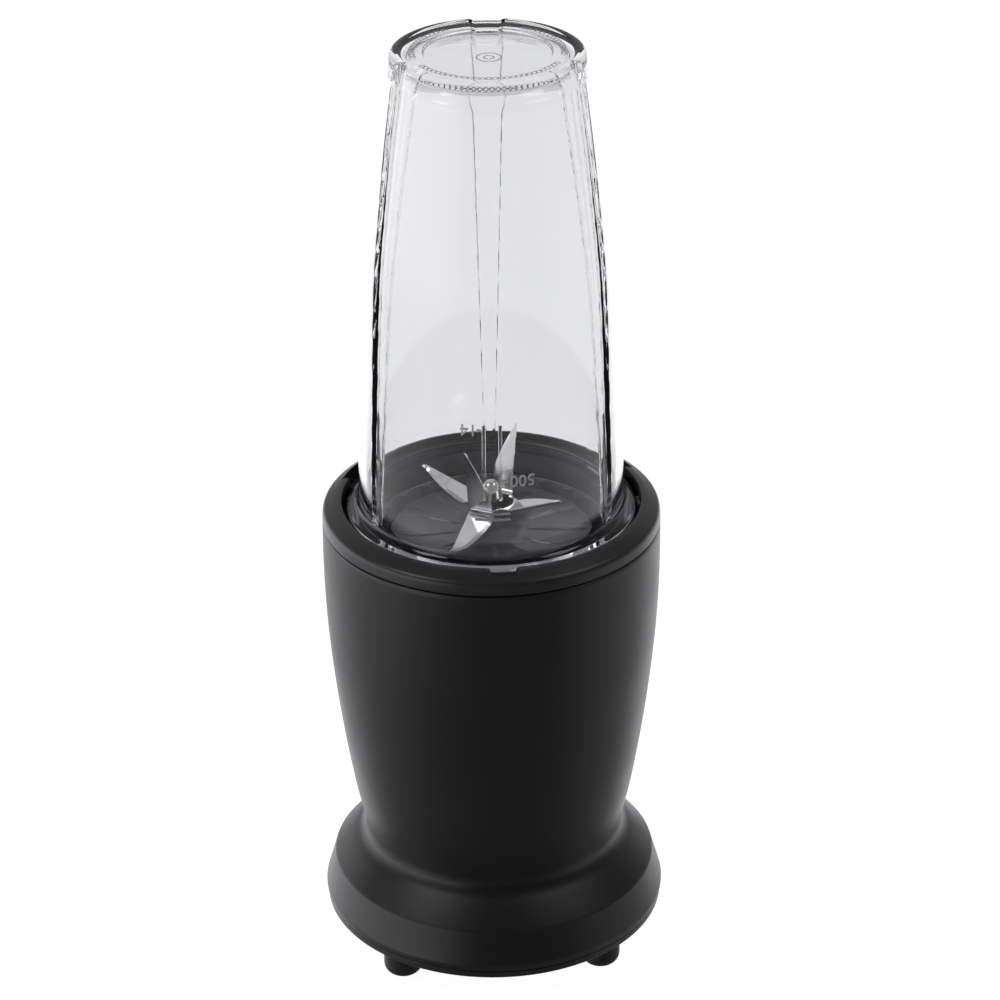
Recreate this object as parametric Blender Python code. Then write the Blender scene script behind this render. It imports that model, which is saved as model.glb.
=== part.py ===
"""Compact personal blender: motor base, bladed holder and an inverted clear cup.

Sizes are in millimetres above the surface the feet stand on, turned into metres by MM.
Azimuths are degrees counter-clockwise from the front, which faces -Y.
"""
import math

import bmesh
import bpy
from mathutils import Matrix, Vector

MM = 0.001
GAP = 0.3            # clearance between pieces that touch

# Housing
FOOT_TOP = 10.4
BASE_RADIUS = 58.6
COVER_TOP = 13.4
BAND_TOP = 27.2      # sharp edge over the conical band of the base
BAND_TOP_RADIUS = 55.0
SEAM = 156.5         # joint between the housing and its collar
COLLAR_EDGE = 160.8  # outer edge of the collar's sloping top
COLLAR_RADIUS = 56.0
LIP_TOP = 163.8      # inner edge of the collar's sloping top
LIP_RADIUS = 49.7
LIP_BOTTOM = 159.6
FOOT_RING = 48.0     # distance of the feet from the axis
FOOT_RADIUS = 6.65
SCREW_RING = 45.0
SCREW_AZIMUTHS = (0.0, 90.0, 180.0, 270.0)
FOOT_AZIMUTHS = {"front_right": 45.0, "back_right": 135.0, "back_left": 225.0, "front_left": 315.0}
INLET_HEIGHT = 20.5     # cord inlet in the band at the back

# Bayonet between the jar and the base
TAB_RADIUS = 51.3
TAB_BOTTOM = 155.5
TAB_TOP = 159.3
TAB_HALF_ANGLES = {0.0: 3.6, 120.0: 7.5, 240.0: 7.5}
PIN_LAG = 26.0       # how far each interlock pin stands clockwise of its tab
PIN_TOP = 158.2
PIN_HALF_ANGLE = 3.4

# Well and interlock
WELL_FLOOR_TOP = 118.5
RING_BOTTOM = 117.7
RING_TOP = 121.7
DECK_BOTTOM = 103.0
DECK_TOP = 105.5

# Motor, from the fan at the bottom to the drive coupling at the top
SHAFT_RADIUS = 3.0
SHAFT_HOLE = 3.3
BUSH_HOLE = 3.1
STATOR_BOTTOM = 58.0
STATOR_TOP = 86.0
STATOR_RADIUS = 33.0
ARMATURE_RADIUS = 16.8
ARMATURE_SLOTS = 12
FAN_VANES = 9
BRUSH_HEIGHT = 45.6
BOLT_RING = 36.0
COUPLING_BASE = 121.5
LUG_BOTTOM = 127.0
LUG_TOP = 134.2
LUGS = 6
LUG_HALF_ANGLE = 12.0

# Blade holder, blades and cup
HOLDER_RADIUS = 48.0
HOLDER_BOTTOM = 139.0
HOLDER_RIM = 160.5
HOLDER_RIBS = 12
PLATFORM = 151.5
BLADE_LEVEL = 161.5
BLADE_THICKNESS = 1.2
BLADE_TURN = -28.5   # azimuth of the falling leaves and of the steep ones over them
MOUTH_BOTTOM = 143.8
MOUTH_RADIUS = 44.0
FLANGE_RADIUS = 47.7
CUP_WALL = 2.4
CUP_TOP = 320.4
CUP_TURN = -3.7
FLUTE_AZIMUTHS = (-60.0, 60.0, 180.0)
CUP_SEGMENTS = 48
# Outer radius of the cup's wall against height, before the flutes
CUP_PROFILE = [(43.7, 176.0), (43.75, 184.0), (43.0, 196.5), (42.25, 211.5), (41.35, 231.5), (40.1, 251.5),
               (37.9, 271.5), (35.3, 291.5), (33.0, 306.5), (31.6, 315.5)]

FINISHES = {
    "matt_black": ((0.018, 0.018, 0.020), 0.55, 0.0, 1.0),
    "dark_grey_plastic": ((0.050, 0.050, 0.055), 0.40, 0.0, 1.0),
    "natural_plastic": ((0.55, 0.55, 0.52), 0.50, 0.0, 1.0),
    "clear_plastic": ((0.93, 0.94, 0.95), 0.05, 0.0, 0.35),
    "stainless_steel": ((0.72, 0.72, 0.74), 0.22, 1.0, 1.0),
    "zinc_plated_steel": ((0.60, 0.60, 0.58), 0.35, 1.0, 1.0),
    "core_steel": ((0.30, 0.31, 0.33), 0.50, 1.0, 1.0),
    "cast_aluminium": ((0.62, 0.63, 0.65), 0.45, 1.0, 1.0),
    "copper_wire": ((0.72, 0.32, 0.14), 0.35, 1.0, 1.0),
    "copper_bar": ((0.80, 0.42, 0.24), 0.30, 1.0, 1.0),
    "sintered_bronze": ((0.55, 0.38, 0.20), 0.55, 1.0, 1.0),
    "brass": ((0.75, 0.58, 0.28), 0.30, 1.0, 1.0),
    "carbon": ((0.03, 0.03, 0.03), 0.60, 0.0, 1.0),
    "black_rubber": ((0.02, 0.02, 0.02), 0.85, 0.0, 1.0),
    "grey_silicone": ((0.30, 0.31, 0.32), 0.65, 0.0, 1.0),
}


def clear_scene():
    for old in list(bpy.data.objects):
        bpy.data.objects.remove(old, do_unlink=True)


def finish(obj, name):
    """Gives the object its own Principled material of the named finish."""
    colour, roughness, metallic, alpha = FINISHES[name]
    material = bpy.data.materials.new(obj.name + "_" + name)
    material.use_nodes = True
    shader = material.node_tree.nodes["Principled BSDF"]
    shader.inputs["Base Color"].default_value = (*colour, 1.0)
    shader.inputs["Roughness"].default_value = roughness
    shader.inputs["Metallic"].default_value = metallic
    shader.inputs["Alpha"].default_value = alpha
    material.diffuse_color = (*colour, alpha)
    obj.data.materials.append(material)


def placed(name, shape, material=None):
    """Turns a bmesh in millimetres into an object: a part of a material, or a hidden cutter."""
    bmesh.ops.remove_doubles(shape, verts=shape.verts, dist=0.0005)
    bmesh.ops.recalc_face_normals(shape, faces=shape.faces)
    bmesh.ops.scale(shape, verts=shape.verts, vec=(MM, MM, MM))
    mesh = bpy.data.meshes.new(name)
    shape.to_mesh(mesh)
    shape.free()
    mesh.shade_smooth()
    mesh.set_sharp_from_angle(angle=math.radians(35))
    obj = bpy.data.objects.new(name, mesh)
    bpy.context.scene.collection.objects.link(obj)
    if material:
        finish(obj, material)
    else:
        obj.hide_render = True
        obj.display_type = "WIRE"
    return obj


def at(azimuth, radius, height):
    """The point at an azimuth from the front, a radius and a height."""
    angle = math.radians(azimuth)
    return Vector((radius * math.sin(angle), -radius * math.cos(angle), height))


def turned_shape(outline, segments=48):
    """A closed (radius, height) outline spun round the Z axis."""
    shape = bmesh.new()
    points = [shape.verts.new((0, -r, z)) for r, z in outline]
    edges = [shape.edges.new((a, b)) for a, b in zip(points, points[1:] + points[:1])
             if max(abs(a.co.x), abs(a.co.y), abs(b.co.x), abs(b.co.y)) > 0.0001]
    bmesh.ops.spin(shape, geom=points + edges, cent=(0, 0, 0), axis=(0, 0, 1),
                   angle=math.tau, steps=segments, use_merge=False)
    bmesh.ops.remove_doubles(shape, verts=shape.verts, dist=0.0005)
    return shape


def turned(name, outline, material=None, segments=48):
    return placed(name, turned_shape(outline, segments), material)


def ring(name, inner, outer, low, high, material=None, segments=20):
    return turned(name, [(inner, high), (outer, high), (outer, low), (inner, low)], material, segments)


def upright(name, radius, low, high, where, material=None, segments=20):
    """A plain vertical cylinder at a point."""
    outline = [(0, high), (radius, high), (radius, low), (0, low)]
    shape = turned_shape(outline, segments)
    bmesh.ops.translate(shape, verts=shape.verts, vec=(where[0], where[1], 0))
    return placed(name, shape, material)


def extruded_shape(points, low, high):
    """An outline of (x, y) points carried from one height to another."""
    shape = bmesh.new()
    base = shape.faces.new([shape.verts.new((x, y, low)) for x, y in points])
    grown = bmesh.ops.extrude_face_region(shape, geom=[base])
    top = [v for v in grown["geom"] if isinstance(v, bmesh.types.BMVert)]
    bmesh.ops.translate(shape, verts=top, vec=(0, 0, high - low))
    return shape


def sector_points(inner, outer, start, end, steps):
    """The outline of a ring sector between two azimuths."""
    turns = [start + (end - start) * i / steps for i in range(steps + 1)]
    arc_out = [at(turn, outer, 0).xy for turn in turns]
    arc_in = [at(turn, inner, 0).xy for turn in reversed(turns)]
    return arc_out + arc_in


def sectors_shape(inner, outer, low, high, middles, half_angle, steps=3):
    """Equal ring sectors round the axis, as separate solids in one mesh."""
    shape = bmesh.new()
    for middle in middles:
        outline = sector_points(inner, outer, middle - half_angle, middle + half_angle, steps)
        piece = extruded_shape([tuple(p) for p in outline], low, high)
        mesh = bpy.data.meshes.new("sector")
        piece.to_mesh(mesh)
        piece.free()
        shape.from_mesh(mesh)
        bpy.data.meshes.remove(mesh)
    return shape


def block(name, size, centre, material=None, azimuth=0.0):
    """A box of a size, centred at a point and turned about the Z axis."""
    shape = bmesh.new()
    bmesh.ops.create_cube(shape, size=1.0)
    bmesh.ops.scale(shape, verts=shape.verts, vec=size)
    bmesh.ops.translate(shape, verts=shape.verts, vec=centre)
    bmesh.ops.rotate(shape, verts=shape.verts, cent=(0, 0, 0),
                     matrix=Matrix.Rotation(math.radians(azimuth), 3, "Z"))
    return placed(name, shape, material)


def boolean(obj, other, operation):
    modifier = obj.modifiers.new(other.name, "BOOLEAN")
    modifier.operation = operation
    modifier.object = other


def cut(obj, *cutters):
    for cutter in cutters:
        boolean(obj, cutter, "DIFFERENCE")


def join(obj, *others):
    for other in others:
        boolean(obj, other, "UNION")


def smooth_profile(knots, count):
    """Points along a Catmull-Rom curve through (radius, height) knots."""
    ends = [knots[0]] + list(knots) + [knots[-1]]
    points = []
    for i in range(1, len(ends) - 2):
        a, b, c, d = (Vector(p) for p in ends[i - 1:i + 3])
        for k in range(count):
            t = k / count
            points.append(tuple(0.5 * (2 * b + (c - a) * t + (2 * a - 5 * b + 4 * c - d) * t ** 2
                                       + (3 * b - a - 3 * c + d) * t ** 3)))
    points.append(tuple(knots[-1]))
    return points


# ---- housing -----------------------------------------------------------------------------

def body_shell():
    """Tapering one-piece housing that flares into a skirt over the feet."""
    side = smooth_profile([(56.3, SEAM - GAP), (56.2, 140.0), (55.2, 116.5), (52.1, 86.5), (47.5, 56.5),
                           (44.4, 42.5)], 2)
    flare = smooth_profile([(44.4, 42.5), (44.9, 38.0), (48.8, 33.4), (53.0, 29.6),
                            (BAND_TOP_RADIUS, BAND_TOP)], 1)
    outer = side + flare[1:] + [(BASE_RADIUS, 15.2), (58.3, COVER_TOP + GAP)]
    inner = [(55.5, COVER_TOP + GAP), (52.4, 26.4), (42.0, 38.5), (41.8, 43.5), (49.3, 86.0),
             (47.8, DECK_BOTTOM - 2.6), (47.8, DECK_BOTTOM - GAP), (51.2, DECK_BOTTOM - GAP),
             (53.5, 132.0), (53.5, SEAM - GAP)]
    shell = turned("body_shell", outer + inner, "matt_black", 36)
    for index, azimuth in enumerate(SCREW_AZIMUTHS):
        spot = at(azimuth, SCREW_RING, 0)
        boss = upright(f"shell_boss_{index}", 4.0, COVER_TOP + GAP, 32.0, spot, segments=12)
        pilot = upright(f"shell_pilot_{index}", 1.8, 10.0, 28.0, spot, segments=10)
        join(shell, boss)
        cut(shell, pilot)
    cut(shell, lying("inlet_hole", 4.6, 48.0, 62.0, INLET_HEIGHT, segments=12),
        lying("inlet_recess", 7.2, 56.2, 62.0, INLET_HEIGHT, segments=16))


def lying(name, radius, start, end, height, material=None, hole=0.0, segments=20):
    """A cylinder or tube along +Y at a height, from one distance behind the axis to another."""
    outline = [(hole, end), (radius, end), (radius, start), (hole, start)]
    shape = turned_shape(outline, segments)
    bmesh.ops.rotate(shape, verts=shape.verts, cent=(0, 0, 0), matrix=Matrix.Rotation(-math.pi / 2, 3, "X"))
    bmesh.ops.translate(shape, verts=shape.verts, vec=(0, 0, height))
    return placed(name, shape, material)


def cord_grommet():
    """Rubber ring in the cord inlet at the back, with a flange on each side of the wall."""
    outline = [(2.9, 58.3), (6.6, 58.3), (6.6, 56.6), (4.3, 56.5),
               (4.3, 52.0), (5.6, 51.4), (4.2, 49.8), (2.9, 49.8)]
    shape = turned_shape(outline, 12)
    bmesh.ops.rotate(shape, verts=shape.verts, cent=(0, 0, 0), matrix=Matrix.Rotation(-math.pi / 2, 3, "X"))
    bmesh.ops.translate(shape, verts=shape.verts, vec=(0, 0, INLET_HEIGHT))
    placed("cord_grommet", shape, "black_rubber")


def bottom_cover():
    """Plate under the housing with vent slots, screw holes and holes for the push-in feet."""
    low = FOOT_TOP + GAP
    plate = turned("bottom_cover", [
        (0, COVER_TOP - 0.2), (52.0, COVER_TOP - 0.2), (52.0, 14.6), (53.6, 14.6), (53.9, COVER_TOP),
        (58.2, COVER_TOP), (58.0, low + 0.4), (57.6, low), (0, low)], "matt_black", 36)
    for index, azimuth in enumerate(SCREW_AZIMUTHS):
        cut(plate, upright(f"cover_hole_{index}", 1.9, 5.0, 20.0, at(azimuth, SCREW_RING, 0), segments=8))
    for name, azimuth in FOOT_AZIMUTHS.items():
        spot = at(azimuth, FOOT_RING, 0)
        cut(plate, upright(f"cover_foot_hole_{name}", 2.8, 5.0, 20.0, spot, segments=8))
    for row, distance in enumerate(range(-15, 16, 10)):
        length = 2 * math.sqrt(26.0 ** 2 - distance ** 2)
        cut(plate, block(f"vent_{row}", (length, 3.0, 20.0), (0, distance, 12.0)))


def feet():
    """Four soft rubber feet, each with a barbed stem pushed through the cover."""
    outline = [(0, 15.6), (2.0, 15.6), (3.3, COVER_TOP + GAP), (2.5, COVER_TOP + GAP), (2.5, FOOT_TOP),
               (FOOT_RADIUS - 0.5, FOOT_TOP), (FOOT_RADIUS, 8.8), (FOOT_RADIUS, 2.0),
               (FOOT_RADIUS - 1.8, 0), (0, 0)]
    for name, azimuth in FOOT_AZIMUTHS.items():
        shape = turned_shape(outline, 16)
        bmesh.ops.translate(shape, verts=shape.verts, vec=at(azimuth, FOOT_RING, 0))
        placed("foot_" + name, shape, "black_rubber")


def cover_screws():
    """Pan-head screws up through the cover into the housing's bosses."""
    outline = [(0, 27.0), (1.5, 26.0), (1.5, FOOT_TOP), (3.2, FOOT_TOP), (3.2, 9.0), (2.4, 8.2), (1.3, 8.2),
               (1.3, 9.2), (0, 9.2)]
    for index, azimuth in enumerate(SCREW_AZIMUTHS):
        shape = turned_shape(outline, 8)
        bmesh.ops.translate(shape, verts=shape.verts, vec=at(azimuth, SCREW_RING, 0))
        placed(f"cover_screw_{index + 1}", shape, "zinc_plated_steel")


def collar():
    """Ring on top of the housing: a sloping top, a lip over the bayonet tabs and three slots."""
    rim = turned("collar", [
        (LIP_RADIUS + 0.3, LIP_TOP), (51.2, 163.2), (COLLAR_RADIUS - 0.4, COLLAR_EDGE + 0.2),
        (COLLAR_RADIUS, COLLAR_EDGE - 0.6), (56.2, SEAM + GAP), (53.5, SEAM + GAP),
        (53.5, LIP_BOTTOM), (LIP_RADIUS, LIP_BOTTOM), (LIP_RADIUS, LIP_TOP - 0.3)], "matt_black", 40)
    for azimuth, half_angle in TAB_HALF_ANGLES.items():
        slot = sectors_shape(LIP_RADIUS - 3, TAB_RADIUS + 0.7, LIP_BOTTOM - 1, LIP_TOP + 1,
                             [azimuth], half_angle + 1.2)
        cut(rim, placed(f"collar_slot_{int(azimuth)}", slot))


def pin_azimuths():
    return [azimuth - PIN_LAG for azimuth in TAB_HALF_ANGLES]


def well():
    """Drive well: a bowl that the blade holder drops into, with a shelf that the pins pass through."""
    bowl = turned("well", [(52.0, LIP_BOTTOM - GAP), (53.2, LIP_BOTTOM - GAP), (53.2, 151.2), (50.2, 151.2),
                           (50.2, 139.0), (38.6, 126.0), (36.2, 116.0), (5.4, 116.0), (5.4, WELL_FLOOR_TOP),
                           (33.8, WELL_FLOOR_TOP), (36.6, 127.6), (48.6, 141.0), (48.6, 153.0),
                           (52.0, 153.0)], "dark_grey_plastic", 32)
    for index, azimuth in enumerate(pin_azimuths()):
        hole = sectors_shape(50.25, 51.95, 148.0, 155.0, [azimuth], PIN_HALF_ANGLE + 0.7)
        cut(bowl, placed(f"pin_hole_{index}", hole))


def shaft_seal():
    """Rubber ring that keeps spills in the well from running down the motor shaft."""
    foot = WELL_FLOOR_TOP + GAP
    turned("shaft_seal", [(3.5, 121.0), (6.5, 120.2), (9.0, foot), (3.5, foot)], "black_rubber", 24)


def interlock():
    """Sprung ring under the well whose three pins the bayonet tabs ride down."""
    carrier = ring("interlock_ring", 41.0, 51.6, RING_BOTTOM, RING_TOP, "natural_plastic", 30)
    stems = sectors_shape(50.4, 51.6, RING_TOP - 1, PIN_TOP, pin_azimuths(), PIN_HALF_ANGLE, 2)
    heads = sectors_shape(49.3, 51.6, PIN_TOP - 1.8, PIN_TOP, pin_azimuths(), PIN_HALF_ANGLE, 2)
    join(carrier, placed("interlock_stems", stems), placed("interlock_heads", heads))
    for index, azimuth in enumerate(pin_azimuths()):
        centre = at(azimuth + 60.0, 45.8, 0)
        coil(f"interlock_spring_{index + 1}", centre, DECK_TOP + GAP, RING_BOTTOM - GAP, 3.4, 0.45, 4)


def coil(name, centre, low, high, radius, wire, turns, lying_along_x=0):
    """A steel compression spring: a four-sided wire along a helix, upright or lying along X."""
    steps = turns * 6
    shape = bmesh.new()
    rings = []
    for i in range(steps + 1):
        angle = math.tau * turns * i / steps
        height = low + wire + (high - low - 2 * wire) * i / steps
        out = Vector((math.cos(angle), math.sin(angle), 0))
        middle = out * radius + Vector((0, 0, height))
        up = Vector((0, 0, 1))
        rings.append([shape.verts.new(middle + side * wire) for side in (out, up, -out, -up)])
    for a, b in zip(rings, rings[1:]):
        for k in range(4):
            shape.faces.new((a[k], a[(k + 1) % 4], b[(k + 1) % 4], b[k]))
    shape.faces.new(rings[0])
    shape.faces.new(rings[-1])
    if lying_along_x:
        bmesh.ops.rotate(shape, verts=shape.verts, cent=(0, 0, 0),
                         matrix=Matrix.Rotation(lying_along_x * math.pi / 2, 3, "Y"))
    bmesh.ops.translate(shape, verts=shape.verts, vec=centre)
    placed(name, shape, "zinc_plated_steel")


def motor_deck():
    """Plate across the housing that the motor hangs from and the interlock springs stand on."""
    deck = ring("motor_deck", 12.0, 50.6, DECK_BOTTOM, DECK_TOP, "natural_plastic", 28)
    for side in (-1, 1):
        cut(deck, upright(f"deck_hole_{side + 1}", 2.2, 100.0, 108.0, (side * BOLT_RING, 0), segments=12))


def microswitch():
    """Snap switch at the back of the deck, worked by the interlock ring."""
    case = block("switch_case", (13.0, 6.4, 7.6), (0, 45.4, DECK_TOP + GAP + 3.8), "matt_black")
    cut(case, block("switch_pocket", (3.2, 2.6, 8.0), (3.0, 45.4, 113.4)))
    block("switch_plunger", (2.4, 1.8, 3.9), (3.0, 45.4, 113.3), "natural_plastic")


# ---- motor -------------------------------------------------------------------------------

def motor_frame():
    """Two aluminium bridges, held by two long bolts, with a bearing in each."""
    brackets = (("motor_lower_bracket", 32.0, 30.9), ("motor_upper_bracket", 94.5, 93.6))
    for name, low, bearing_low in brackets:
        high = low + 4.5
        bridge = block(name, (79.0, 15.0, high - low), (0, 0, (low + high) / 2), "cast_aluminium")
        join(bridge, upright(name + "_boss", 11.0, low, high, (0, 0), segments=20))
        cut(bridge, upright(name + "_bore", 7.5, low - 5, high + 5, (0, 0), segments=20))
        for side in (-1, 1):
            where = (side * BOLT_RING, 0)
            cut(bridge, upright(f"{name}_hole_{side + 1}", 2.2, low - 5, high + 5, where, segments=12))
        bearing = name.replace("bracket", "bearing")
        ring(bearing, BUSH_HOLE, 7.2, bearing_low, bearing_low + 6.4, "sintered_bronze")
    ring("motor_mount_upper", 13.0, 20.0, 99.3, DECK_BOTTOM - GAP, "black_rubber")


def motor_bolts():
    """Through bolts from under the lower bracket to nuts on the deck."""
    outline = [(0, 111.0), (1.8, 111.0), (1.8, 31.7), (3.4, 31.7), (3.4, 28.9), (0, 28.9)]
    for side, word in ((-1, "left"), (1, "right")):
        shape = turned_shape(outline, 12)
        bmesh.ops.translate(shape, verts=shape.verts, vec=(side * BOLT_RING, 0, 0))
        placed("motor_bolt_" + word, shape, "zinc_plated_steel")
        nut = turned_shape([(2.1, 109.0), (4.0, 109.0), (4.0, DECK_TOP + GAP), (2.1, DECK_TOP + GAP)], 6)
        bmesh.ops.translate(nut, verts=nut.verts, vec=(side * BOLT_RING, 0, 0))
        placed("motor_nut_" + word, nut, "zinc_plated_steel")


def stator():
    """Laminated field core: a ring with a pole and pole shoe at the front and at the back."""
    core = ring("stator_core", 28.5, STATOR_RADIUS, STATOR_BOTTOM, STATOR_TOP, "core_steel", 24)
    for index, azimuth in enumerate((0.0, 180.0)):
        shoe = sectors_shape(17.4, 19.6, STATOR_BOTTOM, STATOR_TOP, [azimuth], 52.0, 8)
        neck = block(f"pole_neck_{index}", (14.0, 11.0, STATOR_TOP - STATOR_BOTTOM),
                     (0, -24.0, (STATOR_BOTTOM + STATOR_TOP) / 2), azimuth=azimuth)
        join(core, neck, placed(f"pole_shoe_{index}", shoe))


def field_coils():
    """A wound rectangular coil round each pole."""
    for name, azimuth in (("field_coil_front", 0.0), ("field_coil_back", 180.0)):
        middle = (STATOR_BOTTOM + STATOR_TOP) / 2
        winding = block(name, (25.4, 4.6, 39.0), (0, -22.4, middle), "copper_wire", azimuth)
        cut(winding, block(name + "_opening", (15.8, 12.0, 29.8), (0, -22.4, middle), azimuth=azimuth))
        bevel = winding.modifiers.new("rounding", "BEVEL")
        bevel.width = 1.2 * MM
        bevel.segments = 1
        bevel.limit_method = "ANGLE"


def armature():
    """Slotted core, its winding, the commutator, the fan and the shaft they turn on."""
    teeth = []
    pitch = 360.0 / ARMATURE_SLOTS
    tooth = ((-9, ARMATURE_RADIUS), (0, ARMATURE_RADIUS), (9, ARMATURE_RADIUS), (9, 8.8), (21, 8.8))
    for k in range(ARMATURE_SLOTS):
        teeth += [tuple(at(k * pitch + turn, radius, 0).xy) for turn, radius in tooth]
    core = placed("armature_core", extruded_shape(teeth, 59.0, 85.0), "core_steel")
    cut(core, upright("armature_bore", SHAFT_HOLE, 50.0, 95.0, (0, 0)))
    slots = [k * pitch + pitch / 2 for k in range(ARMATURE_SLOTS)]
    lower_end = [(6.5, 58.7), (15.6, 58.7), (15.6, 55.5), (13.0, 53.0), (6.5, 53.0)]
    upper_end = [(6.5, 91.0), (13.0, 91.0), (15.6, 88.5), (15.6, 85.3), (6.5, 85.3)]
    winding = turned("armature_winding", lower_end, "copper_wire", 18)
    upper = turned("winding_upper", upper_end, None, 18)
    bars = placed("winding_bars", sectors_shape(9.2, 15.4, 57.0, 87.0, slots, 4.4, 1))
    join(winding, bars, upper)
    turned("commutator", [(SHAFT_HOLE, 51.5), (11.0, 51.5), (11.0, 50.0), (9.4, 49.4), (9.4, 41.0),
                          (SHAFT_HOLE, 41.0)], "copper_bar", 24)
    turned("motor_shaft", [(0, 126.4), (2.6, 126.4), (SHAFT_RADIUS, 126.0), (SHAFT_RADIUS, 19.4),
                           (2.6, 19.0), (0, 19.0)], "stainless_steel", 24)
    fan = turned("cooling_fan", [(SHAFT_HOLE, 29.0), (7.0, 29.0), (7.0, 22.0), (26.0, 21.5), (26.0, 20.0),
                                 (SHAFT_HOLE, 20.0)], "natural_plastic", 24)
    vanes = bmesh.new()
    for k in range(FAN_VANES):
        vane = bmesh.new()
        upright_blade = Matrix.LocRotScale((16.0, 2.5, 24.6), None, (19.6, 1.2, 7.4))
        bmesh.ops.create_cube(vane, size=1.0, matrix=upright_blade)
        turn = Matrix.Rotation(math.tau * k / FAN_VANES, 3, "Z")
        bmesh.ops.rotate(vane, verts=vane.verts, cent=(0, 0, 0), matrix=turn)
        mesh = bpy.data.meshes.new("vane")
        vane.to_mesh(mesh)
        vane.free()
        vanes.from_mesh(mesh)
        bpy.data.meshes.remove(mesh)
    join(fan, placed("fan_vanes", vanes))


def brushes():
    """Carbon brushes either side of the commutator, each in a brass tube with its spring."""
    for side, word in ((-1, "left"), (1, "right")):
        block("carbon_brush_" + word, (9.0, 4.0, 6.0), (side * 14.4, 0, BRUSH_HEIGHT), "carbon")
        tube = block("brush_holder_" + word, (14.0, 6.8, 8.8), (side * 18.6, 0, BRUSH_HEIGHT), "brass")
        cut(tube, block("brush_bore_" + word, (13.0, 4.6, 6.6), (side * 17.5, 0, BRUSH_HEIGHT)))
        spring_end = Vector((side * 19.2, 0, BRUSH_HEIGHT))
        coil("brush_spring_" + word, spring_end, 0.0, 4.3, 1.5, 0.3, 3, side)


def fan_shroud():
    """Ring on the cover that guides the cooling air up past the motor."""
    foot = COVER_TOP - 0.2 + GAP
    turned("fan_shroud", [(28.0, 30.0), (29.8, 30.0), (29.8, foot + 0.2), (34.0, foot + 0.2), (34.0, foot),
                          (28.0, foot)], "natural_plastic", 24)


def lug_ring(name, low, high, middles):
    return placed(name, sectors_shape(6.6, 11.0, low, high, middles, LUG_HALF_ANGLE, 2))


def couplings():
    """Dog clutch in the well: lugs on the motor shaft between lugs on the blade shaft."""
    pitch = 360.0 / LUGS
    drive = turned("drive_coupling", [
        (0, LUG_BOTTOM + 0.3), (11.6, LUG_BOTTOM + 0.3), (12.2, 126.0), (12.2, 123.2), (10.6, COUPLING_BASE),
        (SHAFT_HOLE, COUPLING_BASE), (SHAFT_HOLE, 126.8), (0, 126.8)], "black_rubber", 24)
    join(drive, lug_ring("drive_lugs", 125.0, LUG_TOP, [k * pitch for k in range(LUGS)]))
    driven = turned("driven_coupling", [
        (0, 131.0), (5.9, 131.0), (5.9, 134.8), (11.4, 134.8), (11.4, 138.0), (4.0, 138.0),
        (SHAFT_HOLE, 137.8), (SHAFT_HOLE, 132.4), (0, 132.4)], "zinc_plated_steel", 24)
    join(driven, lug_ring("driven_lugs", 127.8, 136.0, [(k + 0.5) * pitch for k in range(LUGS)]))


# ---- jar ---------------------------------------------------------------------------------

def blade_holder():
    """Screw-on base of the jar: a ribbed dish with a hub, a groove for the cup and three tabs."""
    holder = turned("blade_holder", [
        (44.9, HOLDER_RIM), (HOLDER_RADIUS - 0.4, HOLDER_RIM), (HOLDER_RADIUS, HOLDER_RIM - 0.6),
        (HOLDER_RADIUS, 145.0), (46.5, HOLDER_BOTTOM), (38.0, HOLDER_BOTTOM), (36.6, 148.6), (10.0, 148.6),
        (8.0, 146.0), (8.0, HOLDER_BOTTOM + 0.3), (5.3, HOLDER_BOTTOM + 0.3), (5.3, 158.2), (6.6, 158.2),
        (7.4, 155.0), (9.6, 152.4), (13.0, PLATFORM), (38.6, PLATFORM - 0.4), (41.2, PLATFORM - 2.4),
        (41.2, 141.8), (44.9, 141.8)], "dark_grey_plastic", 36)
    ribs = bmesh.new()
    for k in range(HOLDER_RIBS):
        outline = [(12.0, -0.8), (36.0, -1.6), (36.0, 1.6), (12.0, 0.8)]
        rib = extruded_shape(outline, PLATFORM - 1.2, PLATFORM + 0.5)
        turn = Matrix.Rotation(math.tau * k / HOLDER_RIBS, 3, "Z")
        bmesh.ops.rotate(rib, verts=rib.verts, cent=(0, 0, 0), matrix=turn)
        mesh = bpy.data.meshes.new("rib")
        rib.to_mesh(mesh)
        rib.free()
        ribs.from_mesh(mesh)
        bpy.data.meshes.remove(mesh)
    join(holder, placed("holder_ribs", ribs), *[bayonet_tab(a, h) for a, h in TAB_HALF_ANGLES.items()])


def bayonet_tab(azimuth, half_angle):
    """A lug on the holder's side whose clockwise half is a ramp that presses an interlock pin."""
    shape = bmesh.new()
    turns = [-half_angle, 0.0, half_angle]
    bottoms = [TAB_TOP - 1.0, TAB_BOTTOM, TAB_BOTTOM]
    root = HOLDER_RADIUS - 1.5
    rings = []
    for turn, bottom in zip(turns, bottoms):
        corners = ((root, bottom), (TAB_RADIUS, bottom), (TAB_RADIUS, TAB_TOP), (root, TAB_TOP))
        rings.append([shape.verts.new(at(azimuth + turn, r, z)) for r, z in corners])
    for a, b in zip(rings, rings[1:]):
        for k in range(4):
            shape.faces.new((a[k], a[(k + 1) % 4], b[(k + 1) % 4], b[k]))
    shape.faces.new(rings[0])
    shape.faces.new(rings[-1])
    return placed(f"tab_{int(azimuth)}", shape)


def hub_pieces():
    """Bushes and lip seal in the hub, and the loose thrust washer under it."""
    ring("blade_bush_upper", BUSH_HOLE, 5.0, 150.4, 158.2, "sintered_bronze")
    ring("blade_seal", BUSH_HOLE, 5.0, 147.0, 150.0, "grey_silicone")
    ring("blade_bush_lower", BUSH_HOLE, 5.0, HOLDER_BOTTOM + 0.5, 146.7, "sintered_bronze")
    ring("thrust_washer", 3.2, 7.0, 138.3, 139.0, "stainless_steel")


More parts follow.
